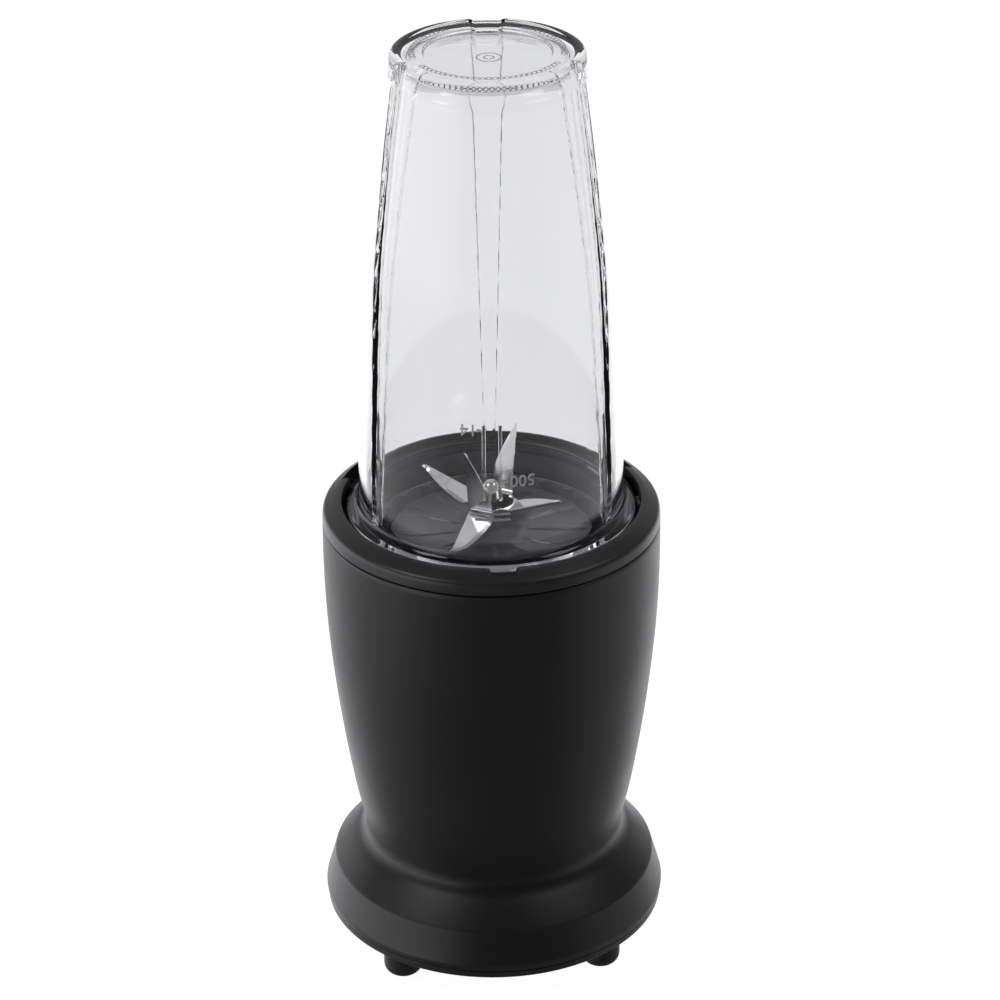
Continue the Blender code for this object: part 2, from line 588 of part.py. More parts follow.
def cup_gasket():
    """Silicone ring in the holder's groove that the cup's mouth presses on."""
    ring("cup_gasket", 41.5, 44.6, 142.1, MOUTH_BOTTOM - GAP, "grey_silicone", 36)


def blade_shaft():
    turned("blade_shaft", [(0, 167.4), (1.9, 167.4), (2.2, 167.0), (2.2, 162.6), (SHAFT_RADIUS, 159.5),
                           (SHAFT_RADIUS, 133.2), (2.5, 132.7), (0, 132.7)], "stainless_steel", 24)
    ring("blade_spacer", 3.3, 6.2, 158.5, 159.3, "stainless_steel", 24)
    nut = turned_shape([(0, 170.2), (1.9, 169.6), (3.1, 168.0), (3.5, 166.4), (3.7, 163.0), (2.5, 163.0),
                        (2.5, 167.7), (0, 167.7)], 12)
    placed("dome_nut", nut, "stainless_steel")


def leaf_points(length):
    """Half of a leaf's outline each way: one straight side, one convex cutting edge, a sharp tip."""
    straight = [(0.0, -4.4), (length, -3.4)]
    edge = [(length * t, -3.4 + 8.0 * (1 - t ** 1.7)) for t in (0.97, 0.86, 0.66, 0.4, 0.0)]
    return straight + edge


def blade_plate(name, level, leaves, bore):
    """A stamped plate: a round middle with leaves bent up or down from it."""
    plate = ring(name, bore, 7.6, level, level + BLADE_THICKNESS, "stainless_steel", 24)
    for index, (azimuth, bend, length) in enumerate(leaves):
        shape = extruded_shape(leaf_points(length), 0, BLADE_THICKNESS)
        root_outline = [(-3.6, -4.1), (0.5, -4.1), (0.5, 4.3), (-3.6, 4.3)]
        root = extruded_shape(root_outline, 0.1, BLADE_THICKNESS - 0.1)
        bent = Matrix.Rotation(-math.radians(bend), 3, "Y")
        bmesh.ops.rotate(shape, verts=shape.verts, cent=(0, 0, 0), matrix=bent)
        leaf_objects = []
        for part_name, part in (("leaf", shape), ("root", root)):
            bmesh.ops.translate(part, verts=part.verts, vec=(8.4, 0, level))
            bmesh.ops.rotate(part, verts=part.verts, cent=(0, 0, 0),
                             matrix=Matrix.Rotation(math.radians(azimuth - 90.0), 3, "Z"))
            leaf_objects.append(placed(f"{name}_{part_name}_{index}", part))
        join(plate, *reversed(leaf_objects))


def blades():
    """Four-leaf upper plate, two rising gently and two steeply, over a two-leaf falling plate."""
    upper = BLADE_LEVEL
    lower = BLADE_LEVEL - BLADE_THICKNESS - GAP
    turn = BLADE_TURN
    blade_plate("blade_upper", upper, [(turn, 78.0, 24.6), (turn + 180, 78.0, 24.6),
                                       (turn + 90, 21.0, 20.0), (turn + 270, 21.0, 20.0)], 2.6)
    blade_plate("blade_lower", lower, [(turn, -22.0, 20.3), (turn + 180, -22.0, 20.3)], 2.9)


def cup_radius(height):
    """Outer radius of the cup, read from its profile."""
    if height <= CUP_PROFILE[0][1]:
        return CUP_PROFILE[0][0]
    for (r0, z0), (r1, z1) in zip(CUP_PROFILE, CUP_PROFILE[1:]):
        if height <= z1:
            return r0 + (r1 - r0) * (height - z0) / (z1 - z0)
    return CUP_PROFILE[-1][0]


def flute_depth(azimuth, height):
    """How far the three concave flutes pull the wall in: deep and wide at the closed end."""
    rise = min(max((height - 168.0) / 150.0, 0.0), 1.0)
    fade = min(max((height - 168.0) / 8.0, 0.0), 1.0)
    half_width = math.degrees((3.2 + 3.6 * rise) / cup_radius(height))
    depth = 0.0
    for flute in FLUTE_AZIMUTHS:
        off = abs((azimuth - flute + 180.0) % 360.0 - 180.0)
        if off < half_width:
            depth = (1.6 + 2.6 * rise ** 2) * fade * math.cos(off / half_width * math.pi / 2)
    return depth


def cup():
    """Clear cup standing on its mouth: closed end up, threaded mouth and flange down."""
    outside = [(MOUTH_RADIUS, MOUTH_BOTTOM), (MOUTH_RADIUS, 160.8), (FLANGE_RADIUS, 160.8),
               (FLANGE_RADIUS, 162.0), (45.3, 163.1), (43.7, 164.6)]
    outside += [(cup_radius(z), z) for z in (170, 184, 206, 230, 252, 272, 290, 304, 314)]
    outside += [(31.0, 318.2), (29.2, 319.8), (27.0, CUP_TOP), (20.0, CUP_TOP - 0.4)]
    inside = [(17.0, CUP_TOP - 2.9), (26.0, CUP_TOP - 2.9), (28.4, 315.6)]
    inside += [(cup_radius(z) - CUP_WALL, z) for z in (306, 288, 264, 232, 190, 170)]
    inside += [(41.4, 160.0), (41.4, MOUTH_BOTTOM)]
    shape = bmesh.new()
    rings = []
    for radius, height in outside + inside:
        loop = []
        for k in range(CUP_SEGMENTS):
            azimuth = 360.0 * k / CUP_SEGMENTS
            depth = flute_depth(azimuth, min(height, 318.0)) if 26.5 < radius else 0.0
            loop.append(shape.verts.new(at(azimuth + CUP_TURN, radius - depth, height)))
        rings.append(loop)
    top = len(outside) - 1
    for index, (a, b) in enumerate(zip(rings, rings[1:] + rings[:1])):
        if index == top:
            continue
        for k in range(CUP_SEGMENTS):
            n = (k + 1) % CUP_SEGMENTS
            shape.faces.new((a[k], a[n], b[n], b[k]))
    for loop, height in ((rings[top], CUP_TOP - 0.4), (rings[top + 1], CUP_TOP - 2.9)):
        centre = shape.verts.new((0, 0, height))
        for k in range(CUP_SEGMENTS):
            shape.faces.new((loop[k], loop[(k + 1) % CUP_SEGMENTS], centre))
    placed("cup", shape, "clear_plastic")


def main():
    clear_scene()
    for build in (body_shell, cord_grommet, bottom_cover, feet, cover_screws, collar, well, shaft_seal,
                  interlock, motor_deck, microswitch, motor_frame, motor_bolts, stator, field_coils,
                  armature, brushes, fan_shroud, couplings, blade_holder, hub_pieces, cup_gasket,
                  blade_shaft, blades, cup):
        build()


main()
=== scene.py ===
"""Personal blender: matt black motor base, and a bladed holder under an inverted clear cup.

Lengths in the shapes are millimetres in the model's frame, turned into metres when a mesh is
made. An azimuth is degrees counter-clockwise from the front of the base, which faces -Y.
"""
import math

import bmesh
import bpy
import numpy as np
from mathutils import Matrix, Vector


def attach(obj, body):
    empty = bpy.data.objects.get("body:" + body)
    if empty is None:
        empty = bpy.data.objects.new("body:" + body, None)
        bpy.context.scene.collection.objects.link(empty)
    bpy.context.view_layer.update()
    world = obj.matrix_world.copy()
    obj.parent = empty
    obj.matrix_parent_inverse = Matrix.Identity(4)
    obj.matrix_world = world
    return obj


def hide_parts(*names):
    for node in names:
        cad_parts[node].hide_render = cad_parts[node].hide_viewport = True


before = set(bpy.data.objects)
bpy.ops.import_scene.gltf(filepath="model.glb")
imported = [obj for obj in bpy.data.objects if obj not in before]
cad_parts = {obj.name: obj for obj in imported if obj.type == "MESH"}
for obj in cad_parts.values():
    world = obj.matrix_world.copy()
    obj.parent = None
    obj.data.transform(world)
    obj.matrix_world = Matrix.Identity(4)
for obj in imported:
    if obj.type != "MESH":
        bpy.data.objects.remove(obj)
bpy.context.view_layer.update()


# ---- camera, floor and light ---------------------------------------------------------------
# The product stands on a white sweep between two tall side panels and in front of a white
# wall, with the side of the room where the camera stands left dim, so that a matt black body
# keeps its form. The camera is a long lens a little over a metre away.

seam_centre = Vector((0.0, 0.0, 0.1565))
CAMERA_DISTANCE = 1.1912
CAMERA_AZIMUTH = -4.2
CAMERA_ELEVATION = 27.62
AIM_RIGHT = 0.14
AIM_UP = 0.25
ROLL = -0.45

lens = bpy.data.cameras.new("camera")
lens.sensor_width = 36.0
lens.lens = 128.86
camera = bpy.data.objects.new("camera", lens)
bpy.context.scene.collection.objects.link(camera)
tilt = Matrix.Rotation(math.radians(90.0 - CAMERA_ELEVATION + AIM_UP), 4, "X")
turn = Matrix.Rotation(math.radians(-AIM_RIGHT), 4, "Y")
twist = Matrix.Rotation(math.radians(ROLL), 4, "Z")
swing = Matrix.Rotation(math.radians(CAMERA_AZIMUTH), 4, "Z")
stand = Vector((0.0, -math.cos(math.radians(CAMERA_ELEVATION)), math.sin(math.radians(CAMERA_ELEVATION))))
place = Matrix.Translation(seam_centre + swing @ stand * CAMERA_DISTANCE)
camera.matrix_world = place @ swing @ tilt @ turn @ twist
bpy.context.scene.camera = camera
bpy.context.scene.view_settings.view_transform = "Standard"
bpy.context.scene.cycles.max_bounces = 24
bpy.context.scene.cycles.glossy_bounces = 16
bpy.context.scene.cycles.transmission_bounces = 20

FLOOR_HALF = 30.0
sweep = bpy.data.meshes.new("floor")
sweep.from_pydata([(-FLOOR_HALF, -FLOOR_HALF, 0), (FLOOR_HALF, -FLOOR_HALF, 0),
                   (FLOOR_HALF, FLOOR_HALF, 0), (-FLOOR_HALF, FLOOR_HALF, 0)], [], [(0, 1, 2, 3)])
floor = bpy.data.objects.new("floor", sweep)
bpy.context.scene.collection.objects.link(floor)
paint = bpy.data.materials.new("white_sweep")
paint.use_nodes = True
coat = paint.node_tree.nodes["Principled BSDF"]
coat.inputs["Base Color"].default_value = (0.25, 0.25, 0.25, 1.0)
coat.inputs["Roughness"].default_value = 0.9
coat.inputs["Emission Color"].default_value = (1.0, 1.0, 1.0, 1.0)
coat.inputs["Emission Strength"].default_value = 0.97
sweep.materials.append(paint)
floor.visible_diffuse = False
floor.visible_glossy = False

# The room's light by direction: dim all round, brighter towards the two sides and the back.
world = bpy.data.worlds.new("studio")
bpy.context.scene.world = world
world.use_nodes = True
tree = world.node_tree
tree.nodes.clear()


def wire(tree, kind, inputs=None, **settings):
    """A node of a kind, with its settings, and with its inputs set to values or linked to sockets."""
    node = tree.nodes.new(kind)
    for key, value in settings.items():
        setattr(node, key, value)
    for key, value in (inputs or {}).items():
        if isinstance(value, bpy.types.NodeSocket):
            tree.links.new(value, node.inputs[key])
        else:
            node.inputs[key].default_value = value
    return node


def math_node(tree, operation, first, second=0.0, third=0.0):
    return wire(tree, "ShaderNodeMath", {0: first, 1: second, 2: third}, operation=operation).outputs[0]


def ramp(tree, value, low, high, start, end):
    """Smooth change from start to end as a value goes from low to high."""
    node = wire(tree, "ShaderNodeMapRange", {"Value": value, "From Min": low, "From Max": high,
                                             "To Min": start, "To Max": end}, interpolation_type="SMOOTHSTEP")
    return node.outputs["Result"]


direction = wire(tree, "ShaderNodeTexCoord").outputs["Generated"]
parts = wire(tree, "ShaderNodeSeparateXYZ", {"Vector": direction})
x, y, z = (parts.outputs[axis] for axis in "XYZ")
level = math_node(tree, "ABSOLUTE", z)
side = math_node(tree, "MULTIPLY", ramp(tree, math_node(tree, "ABSOLUTE", x), 0.6, 0.97, 0.0, 0.65),
                 ramp(tree, z, 0.1, -0.35, 0.15, 1.0))
left = math_node(tree, "MULTIPLY", ramp(tree, x, -0.45, -0.68, 0.0, 1.4), ramp(tree, level, 0.36, 0.2, 0.0, 1.0))
back = math_node(tree, "MULTIPLY", ramp(tree, y, 0.25, 0.75, 0.0, 0.75), ramp(tree, z, -0.3, 0.0, 2.0, 0.6))
top = ramp(tree, z, 0.6, 0.95, 0.0, 0.02)
glow = math_node(tree, "ADD", math_node(tree, "ADD", side, left), math_node(tree, "ADD", back, top))
glow = math_node(tree, "ADD", glow, ramp(tree, z, -0.35, 0.3, 0.19, 0.05))
path = wire(tree, "ShaderNodeLightPath").outputs
glow = math_node(tree, "ADD", glow, math_node(tree, "MULTIPLY", path["Is Transmission Ray"], 0.3))
seen = path["Is Camera Ray"]
strength = math_node(tree, "ADD", math_node(tree, "MULTIPLY", glow, math_node(tree, "SUBTRACT", 1.0, seen)), seen)
sky = wire(tree, "ShaderNodeBackground", {"Color": (0.97, 0.975, 1.0, 1.0), "Strength": strength})
wire(tree, "ShaderNodeOutputWorld", {"Surface": sky.outputs[0]})

for name, spot, size, watts in (("key_light", (-0.9, -0.3, 1.3), 0.5, 4.0), ("fill_light", (0.8, -0.25, 1.25), 0.5, 2.5)):
    lamp = bpy.data.lights.new(name, "AREA")
    lamp.size = size
    lamp.energy = watts
    holder = bpy.data.objects.new(name, lamp)
    bpy.context.scene.collection.objects.link(holder)
    holder.location = spot
    holder.rotation_euler = (seam_centre - Vector(spot)).to_track_quat("-Z", "Y").to_euler()


# ---- housing -------------------------------------------------------------------------------
# One-piece motor housing, injection moulded in black ABS with a fine spark-eroded grain. It
# tapers down to a neck and flares out again into a skirt with a crisp edge round its top. The
# cord inlet is a round hole through the skirt at the back.

SEAM = 156.5
MM = 0.001


def curve(knots, count):
    """Points on a Catmull-Rom curve through the knots: between each two knots the point is the
    cubic that has the slope of the chord between the neighbours at either end."""
    knots = np.asarray(knots, float)
    ends = np.vstack([knots[:1], knots, knots[-1:]])
    t = (np.arange(count) / count)[:, None]
    a, b, c, d = (ends[i:len(ends) - 3 + i, None] for i in range(4))
    spans = 0.5 * (2 * b + (c - a) * t + (2 * a - 5 * b + 4 * c - d) * t ** 2 + (3 * b - a - 3 * c + d) * t ** 3)
    return np.vstack([spans.reshape(-1, knots.shape[1]), knots[-1:]])


def rounded(corners, steps=4):
    """A closed outline of (radius, height, rounding) corners: a rounded corner becomes the curve
    (1-t)^2 a + 2t(1-t) b + t^2 c between points a and c that lie its rounding away from b along
    the two sides. The third column of the result is 1 on a rounded corner and 0 elsewhere."""
    out = []
    count = len(corners)
    for i, (r, z, size) in enumerate(corners):
        b = np.array((r, z))
        if size == 0:
            out.append((r, z, 0.0))
            continue
        before = np.array(corners[i - 1][:2]) - b
        after = np.array(corners[(i + 1) % count][:2]) - b
        a = b + before * min(size / np.linalg.norm(before), 0.49)
        c = b + after * min(size / np.linalg.norm(after), 0.49)
        for t in np.linspace(0, 1, steps + 1):
            p = (1 - t) ** 2 * a + 2 * t * (1 - t) * b + t ** 2 * c
            out.append((p[0], p[1], 1.0))
    return np.array(out)


def plain(points):
    """Curve points as outline corners that stay as they are."""
    return [(r, z, 0.0) for r, z in points]


def surface(name, points, around=True, along=True, edge=None, sharp=32.0):
    """A mesh from a grid of points in millimetres: each four neighbours make a face, and a
    direction that closes joins its last line to its first. An open end of closed rings gets one
    face over it. Faces are turned outwards by the sign of the volume they enclose."""
    rows, columns = points.shape[:2]
    index = np.arange(rows * columns).reshape(rows, columns)
    grid = np.vstack([index, index[:1]]) if along else index
    grid = np.hstack([grid, grid[:, :1]]) if around else grid
    faces = np.stack([grid[:-1, :-1], grid[:-1, 1:], grid[1:, 1:], grid[1:, :-1]], -1).reshape(-1, 4)
    flat = points.reshape(-1, 3) * MM
    corner = flat[faces]
    volume = np.einsum("ij,ij->i", corner[:, 0], np.cross(corner[:, 1], corner[:, 2])).sum()
    volume += np.einsum("ij,ij->i", corner[:, 0], np.cross(corner[:, 2], corner[:, 3])).sum()
    faces = faces.tolist()
    if around and not along:
        faces += [index[0, ::-1].tolist(), index[-1].tolist()]
        first, last = flat[index[0]], flat[index[-1]]
        for ring, way in ((first[::-1], 1), (last, 1)):
            middle = ring.mean(0)
            rolled = np.roll(ring, -1, 0)
            volume += way * (np.cross(ring, rolled) @ middle).sum()
    if volume < 0:
        faces = [face[::-1] for face in faces]
    mesh = bpy.data.meshes.new(name)
    mesh.from_pydata(flat.tolist(), [], faces)
    if edge is not None:
        worn = mesh.attributes.new("edge", "FLOAT", "POINT")
        worn.data.foreach_set("value", np.ascontiguousarray(np.broadcast_to(edge, (rows, columns)), np.float32).ravel())
    weld = bmesh.new()
    weld.from_mesh(mesh)
    bmesh.ops.remove_doubles(weld, verts=weld.verts, dist=1e-6)
    weld.to_mesh(mesh)
    weld.free()
    mesh.shade_smooth()
    mesh.set_sharp_from_angle(angle=math.radians(sharp))
    obj = bpy.data.objects.new(name, mesh)
    bpy.context.scene.collection.objects.link(obj)
    return obj


def spun(name, outline, azimuths=192, bend=None, sharp=32.0):
    """An outline of (radius, height, edge) carried round the Z axis: the point at azimuth a is
    (r sin a, -r cos a, z). bend may change r and z as a function of azimuth."""
    turns = np.arange(azimuths) * 360.0 / azimuths if np.isscalar(azimuths) else np.asarray(azimuths, float)
    a, r = np.meshgrid(turns, outline[:, 0])
    z = np.broadcast_to(outline[:, 1:2], r.shape).copy()
    if bend:
        r, z = bend(a, r, z)
    angle = np.radians(a)
    points = np.stack([r * np.sin(angle), -r * np.cos(angle), z], -1)
    return surface(name, points, edge=outline[:, 2:3], sharp=sharp)


def dress(obj, body, material, slot, *nodes):
    """Gives a piece its finish, hangs it on the empty of the body it rides on, and hides the solids it stands for."""
    obj.data.materials.clear()
    obj.data.materials.append(material)
    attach(obj, body)
    if nodes:
        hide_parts(*nodes)
    return obj


def finish(name, colour, roughness, metallic=0.0, spread=0.12, patches=40.0, grain=2500.0, depth=0.02,
           stretch=(1.0, 1.0, 1.0), worn=None, specular=0.5):
    """A moulded, cast or drawn surface. Two noises on object coordinates, one of broad patches
    and one of fine grain, vary the colour by spread and the roughness, and the grain raises the
    surface by depth millimetres. stretch draws the grain out along an axis. Where the mesh's edge
    value is 1, a worn finish takes the worn colour."""
    material = bpy.data.materials.new(name)
    material.use_nodes = True
    tree = material.node_tree
    shader = tree.nodes["Principled BSDF"]
    shader.inputs["Metallic"].default_value = metallic
    shader.inputs["Specular IOR Level"].default_value = specular
    where = wire(tree, "ShaderNodeTexCoord").outputs["Object"]
    drawn = wire(tree, "ShaderNodeMapping", {"Vector": where, "Scale": stretch}).outputs[0]
    broad = wire(tree, "ShaderNodeTexNoise", {"Vector": where, "Scale": patches, "Detail": 4.0}).outputs["Fac"]
    fine = wire(tree, "ShaderNodeTexNoise", {"Vector": drawn, "Scale": grain, "Detail": 2.0}).outputs["Fac"]
    mixed = math_node(tree, "ADD", math_node(tree, "MULTIPLY", broad, 0.6), math_node(tree, "MULTIPLY", fine, 0.4))
    dark = [c * (1 - spread) for c in colour] + [1.0]
    light = [min(c * (1 + spread), 1.0) for c in colour] + [1.0]
    shade = wire(tree, "ShaderNodeMix", {"Factor": ramp(tree, mixed, 0.3, 0.7, 0.0, 1.0), "A": dark, "B": light},
                 data_type="RGBA")
    tint = shade.outputs["Result"]
    if worn:
        rubbed = wire(tree, "ShaderNodeAttribute", attribute_name="edge").outputs["Fac"]
        amount = math_node(tree, "MULTIPLY", rubbed, ramp(tree, broad, 0.42, 0.62, 0.15, 0.8))
        tint = wire(tree, "ShaderNodeMix", {"Factor": amount, "A": tint, "B": (*worn, 1.0)},
                    data_type="RGBA").outputs["Result"]
    tree.links.new(tint, shader.inputs["Base Color"])
    rough = ramp(tree, mixed, 0.3, 0.7, roughness * 0.86, min(roughness * 1.14, 1.0))
    tree.links.new(rough, shader.inputs["Roughness"])
    raised = wire(tree, "ShaderNodeBump", {"Height": fine, "Strength": 0.5, "Distance": depth * MM})
    tree.links.new(raised.outputs["Normal"], shader.inputs["Normal"])
    return material


housing_black = finish("grained_black", (0.0085, 0.0083, 0.0098), 0.43, spread=0.10, patches=28.0,
                       grain=3200.0, depth=0.02, worn=(0.020, 0.020, 0.022))

INLET_HEIGHT = 20.5
INLET_RADIUS = 4.6

side = curve([(56.22, 155.2), (56.25, 144.5), (56.0, 131.5), (55.23, 116.5), (53.87, 101.5), (52.12, 86.5),
              (50.0, 71.5), (47.45, 56.5), (45.5, 47.5), (44.5, 42.5), (44.35, 40.2), (44.75, 38.2),
              (46.2, 36.0), (48.9, 33.6), (52.0, 30.6), (54.6, 27.9)], 7)
skirt = [(55.2, 27.2, 0.45), (58.55, 15.6, 1.2), (58.3, 13.7, 0.2)]
skirt_rows = [(55.2 + 3.35 * t, 27.2 - 11.6 * t, 0.0) for t in np.linspace(0.06, 0.94, 22)]
inside = [(55.5, 13.7, 0.2), (52.4, 26.4, 1.0), (42.0, 38.5, 1.0), (41.8, 43.5, 1.0), (49.3, 86.0, 0.0),
          (53.4, 132.0, 0.0), (53.5, 156.2, 0.1), (55.9, 156.2, 0.35)]
shell_outline = rounded(plain(side) + skirt[:1] + skirt_rows + skirt[1:] + inside, 4)


def inlet(a, r, z):
    """Pulls the skirt in by up to 5 mm inside the inlet's circle, measured on the surface."""
    across = np.radians((a - 180.0 + 180.0) % 360.0 - 180.0) * r
    away = np.hypot(across, (z - INLET_HEIGHT))
    outer = r > 55.3
    return np.where(outer & (away < INLET_RADIUS), r - 5.0, r), z


near_inlet = 180.0 + np.linspace(-6.0, 6.0, 33)
shell_turns = np.concatenate([np.linspace(-173.0, 173.0, 188) % 360.0, near_inlet])
shell = spun("housing_shell", shell_outline, np.sort(shell_turns), inlet)
dress(shell, "base", housing_black, "housing", "body_shell")


# ---- cord inlet ----------------------------------------------------------------------------
# A black rubber grommet is pushed into the inlet hole. Its flange covers the edge of the hole,
# and the mains cord, which isn't modelled, would run through its bore.

rubber_black = finish("moulded_rubber", (0.012, 0.012, 0.012), 0.62, spread=0.2, patches=90.0, grain=1400.0,
                      depth=0.03)
grommet_outline = rounded([(2.9, 58.45, 0.4), (4.6, 58.5, 0.4), (6.5, 57.6, 0.5), (6.6, 56.9, 0.1), (4.3, 56.9, 0.1),
                           (4.3, 52.0, 0.2), (5.6, 51.4, 0.2), (4.2, 49.8, 0.2), (2.9, 49.8, 0.2)])
turns = np.radians(np.arange(48) * 7.5)[None, :]
reach = grommet_outline[:, 0:1]
grommet = surface("inlet_grommet", np.stack([
    reach * np.cos(turns), np.broadcast_to(grommet_outline[:, 1:2], (len(reach), 48)),
    INLET_HEIGHT + reach * np.sin(turns)], -1), edge=grommet_outline[:, 2:3])
dress(grommet, "base", rubber_black, "rubber", "cord_grommet")


# ---- bottom cover --------------------------------------------------------------------------
# A moulded plate closes the housing from below, with air slots under the motor's fan. It is held
# by four screws in deep bosses, and it carries the four feet. Its rim shows as a thin line.

FOOT_TOP = 10.4
COVER_TOP = 13.4
FOOT_RING = 48.0
SCREW_RING = 45.0
FOOT_AZIMUTHS = {"front_right": 45.0, "back_right": 135.0, "back_left": 225.0, "front_left": 315.0}
SCREW_AZIMUTHS = (0.0, 90.0, 180.0, 270.0)


def at(azimuth, radius, height):
    """The point at an azimuth, a distance from the Z axis and a height."""
    angle = math.radians(azimuth)
    return Vector((radius * math.sin(angle), -radius * math.cos(angle), height))


def carved(obj, *cutters):
    """The piece with the cutters taken out of it, as a plain mesh with no modifiers left."""
    for cutter in cutters:
        step = obj.modifiers.new(cutter.name, "BOOLEAN")
        step.operation = "DIFFERENCE"
        step.object = cutter
    done = bpy.data.meshes.new_from_object(obj.evaluated_get(bpy.context.evaluated_depsgraph_get()))
    obj.modifiers.clear()
    obj.data = done
    done.set_sharp_from_angle(angle=math.radians(32.0))
    for cutter in cutters:
        bpy.data.objects.remove(cutter)
    return obj


def moved(obj, shift):
    """The piece with its mesh shifted by millimetres."""
    obj.data.transform(Matrix.Translation(Vector(shift) * MM))
    return obj


def bar(name, half_x, half_y, low, high, middle):
    """An upright bar with half-round ends: its outline is |x| up to half_x - half_y plus a half
    circle of radius half_y at either end."""
    turns = np.linspace(-math.pi / 2, math.pi / 2, 9)
    right = np.stack([half_x - half_y + half_y * np.cos(turns), half_y * np.sin(turns)], -1)
    loop = np.vstack([right, -right])
    rows = np.stack([np.column_stack([loop, np.full(len(loop), z)]) for z in (low, high)])
    return surface(name, rows + np.asarray(middle, float), along=False)


cover_outline = rounded([(0.0, 13.2, 0), (52.0, 13.2, 0.1), (52.0, 14.6, 0.2), (53.6, 14.6, 0.2), (53.9, COVER_TOP, 0.1),
                         (58.15, COVER_TOP, 0.2), (58.0, 11.2, 0.3), (57.4, 10.7, 0.3), (52.5, 10.7, 0.3),
                         (52.2, 11.0, 0.2), (36.0, 11.0, 0.2), (35.7, 10.7, 0.2), (0.0, 10.7, 0)])
cover = spun("base_cover", cover_outline, 160)
slots = [bar(f"slot_{row}", math.sqrt(26.0 ** 2 - distance ** 2), 1.5, 5.0, 20.0, (0, distance, 0))
         for row, distance in enumerate(range(-15, 16, 10))]
recesses = [moved(spun(f"recess_{azimuth}", rounded([(0, 30.0, 0), (1.9, 30.0, 0), (1.9, 5.0, 0), (0, 5.0, 0)]), 24),
                  at(azimuth, SCREW_RING, 0)) for azimuth in SCREW_AZIMUTHS]
dress(carved(cover, *slots, *recesses), "base", housing_black, "housing", "bottom_cover")


# ---- feet and cover screws -----------------------------------------------------------------
# Four soft rubber feet are pushed through the cover on barbed stems. Four zinc-plated
# pan-head screws with cross recesses hold the cover.

foot_outline = rounded([(0, 15.6, 0), (2.0, 15.6, 0.3), (2.4, 13.0, 0.1), (2.4, FOOT_TOP, 0.1), (6.3, FOOT_TOP, 0.5),
                        (6.65, 8.8, 0.6), (6.65, 2.0, 1.6), (4.8, 0.0, 1.0), (3.0, 0.0, 0.3), (2.6, 0.5, 0.2), (0, 0.5, 0)])
for name, azimuth in FOOT_AZIMUTHS.items():
    foot = moved(spun("rubber_foot_" + name, foot_outline, 48), at(azimuth, FOOT_RING, 0))
    dress(foot, "base", rubber_black, "rubber", "foot_" + name)

zinc_plate = finish("zinc_plate", (0.60, 0.60, 0.57), 0.34, metallic=1.0, spread=0.14, patches=300.0, grain=5000.0,
                    depth=0.004)
screw_outline = rounded([(0, 27.0, 0), (1.5, 25.8, 0.2), (1.5, FOOT_TOP, 0.1), (3.2, FOOT_TOP, 0.15), (3.2, 9.3, 0.5),
                         (2.2, 8.2, 0.8), (0, 8.0, 0)])
for index, azimuth in enumerate(SCREW_AZIMUTHS):
    screw = spun(f"pan_screw_{index + 1}", screw_outline, 36)
    arms = [bar(f"arm_{k}", 1.7, 0.4, 5.0, 9.6, (0, 0, 0)) for k in range(2)]
    arms[1].data.transform(Matrix.Rotation(math.pi / 2, 4, "Z"))
    moved(carved(screw, *arms), at(azimuth, SCREW_RING, 0))
    dress(screw, "base", zinc_plate, "plated_steel", f"cover_screw_{index + 1}")


# ---- collar --------------------------------------------------------------------------------
# The ring on top of the housing is a second black moulding, pressed on over a thin dark seam.
# Its top slopes outwards. Its lip has three slots that the jar's bayonet tabs drop through: a
# narrow key slot with a bevelled lead-in at the front, and two wide ones towards the back.

collar_black = finish("satin_black", (0.0210, 0.0208, 0.0230), 0.38, spread=0.10, patches=28.0, grain=3200.0,
                      depth=0.012, worn=(0.028, 0.028, 0.030))
LIP_RADIUS = 49.7
LIP_TOP = 163.8
SLOT_HALF_ANGLES = {0.0: 4.8, 120.0: 8.7, 240.0: 8.7}
SLOT_DEPTH = 2.3

collar_outline = rounded([
    (LIP_RADIUS, LIP_TOP, 0.45), (51.6, 163.35, 1.2), (55.6, 161.1, 0.9), (56.05, 159.9, 0.4), (56.25, 156.8, 0.35),
    (53.5, 156.8, 0.1), (53.5, 159.6, 0.1), (LIP_RADIUS, 159.6, 0.15)], 5)


def slot_steps(a, r, z):
    """Moves the lip's inner wall out by the slot's depth within each slot, with a steep side
    0.25 degrees wide, and lets the slot's mouth fall away over its outer half millimetre."""
    for middle, half in SLOT_HALF_ANGLES.items():
        away = np.abs((a - middle + 180.0) % 360.0 - 180.0)
        inside = np.clip((half - away) / 0.25, 0, 1)
        reach = np.clip((52.4 - r) / 2.0, 0, 1)
        mouth = np.clip((half + 1.0 - away) / 1.0, 0, 1) * (z > 162.5)
        r = r + SLOT_DEPTH * inside * (reach > 0) * np.clip((52.9 - r) / 3.2, 0.1, 1)
        z = z - 0.35 * mouth * reach
    return r, z


edges = [np.concatenate([middle + s * np.array([half - 0.25, half, half + 1.0]) for s in (-1, 1)])
         for middle, half in SLOT_HALF_ANGLES.items()]
collar_turns = np.unique(np.concatenate([np.arange(0, 360, 1.8)] + edges) % 360.0)
collar = spun("top_collar", collar_outline, collar_turns, slot_steps)
dress(collar, "base", collar_black, "housing", "collar")


# ---- drive well ----------------------------------------------------------------------------
# A dark grey bowl under the collar takes the jar's blade holder. Its shelf has three small
# windows for the interlock pins, and the motor shaft comes up through a seal in its floor.

grey_plastic = finish("grey_moulding", (0.030, 0.029, 0.032), 0.30, spread=0.12, patches=30.0, grain=2600.0,
                      depth=0.012, worn=(0.045, 0.044, 0.048))
WELL_FLOOR_TOP = 118.5
PIN_LAG = 26.0
PIN_HALF_ANGLE = 4.1

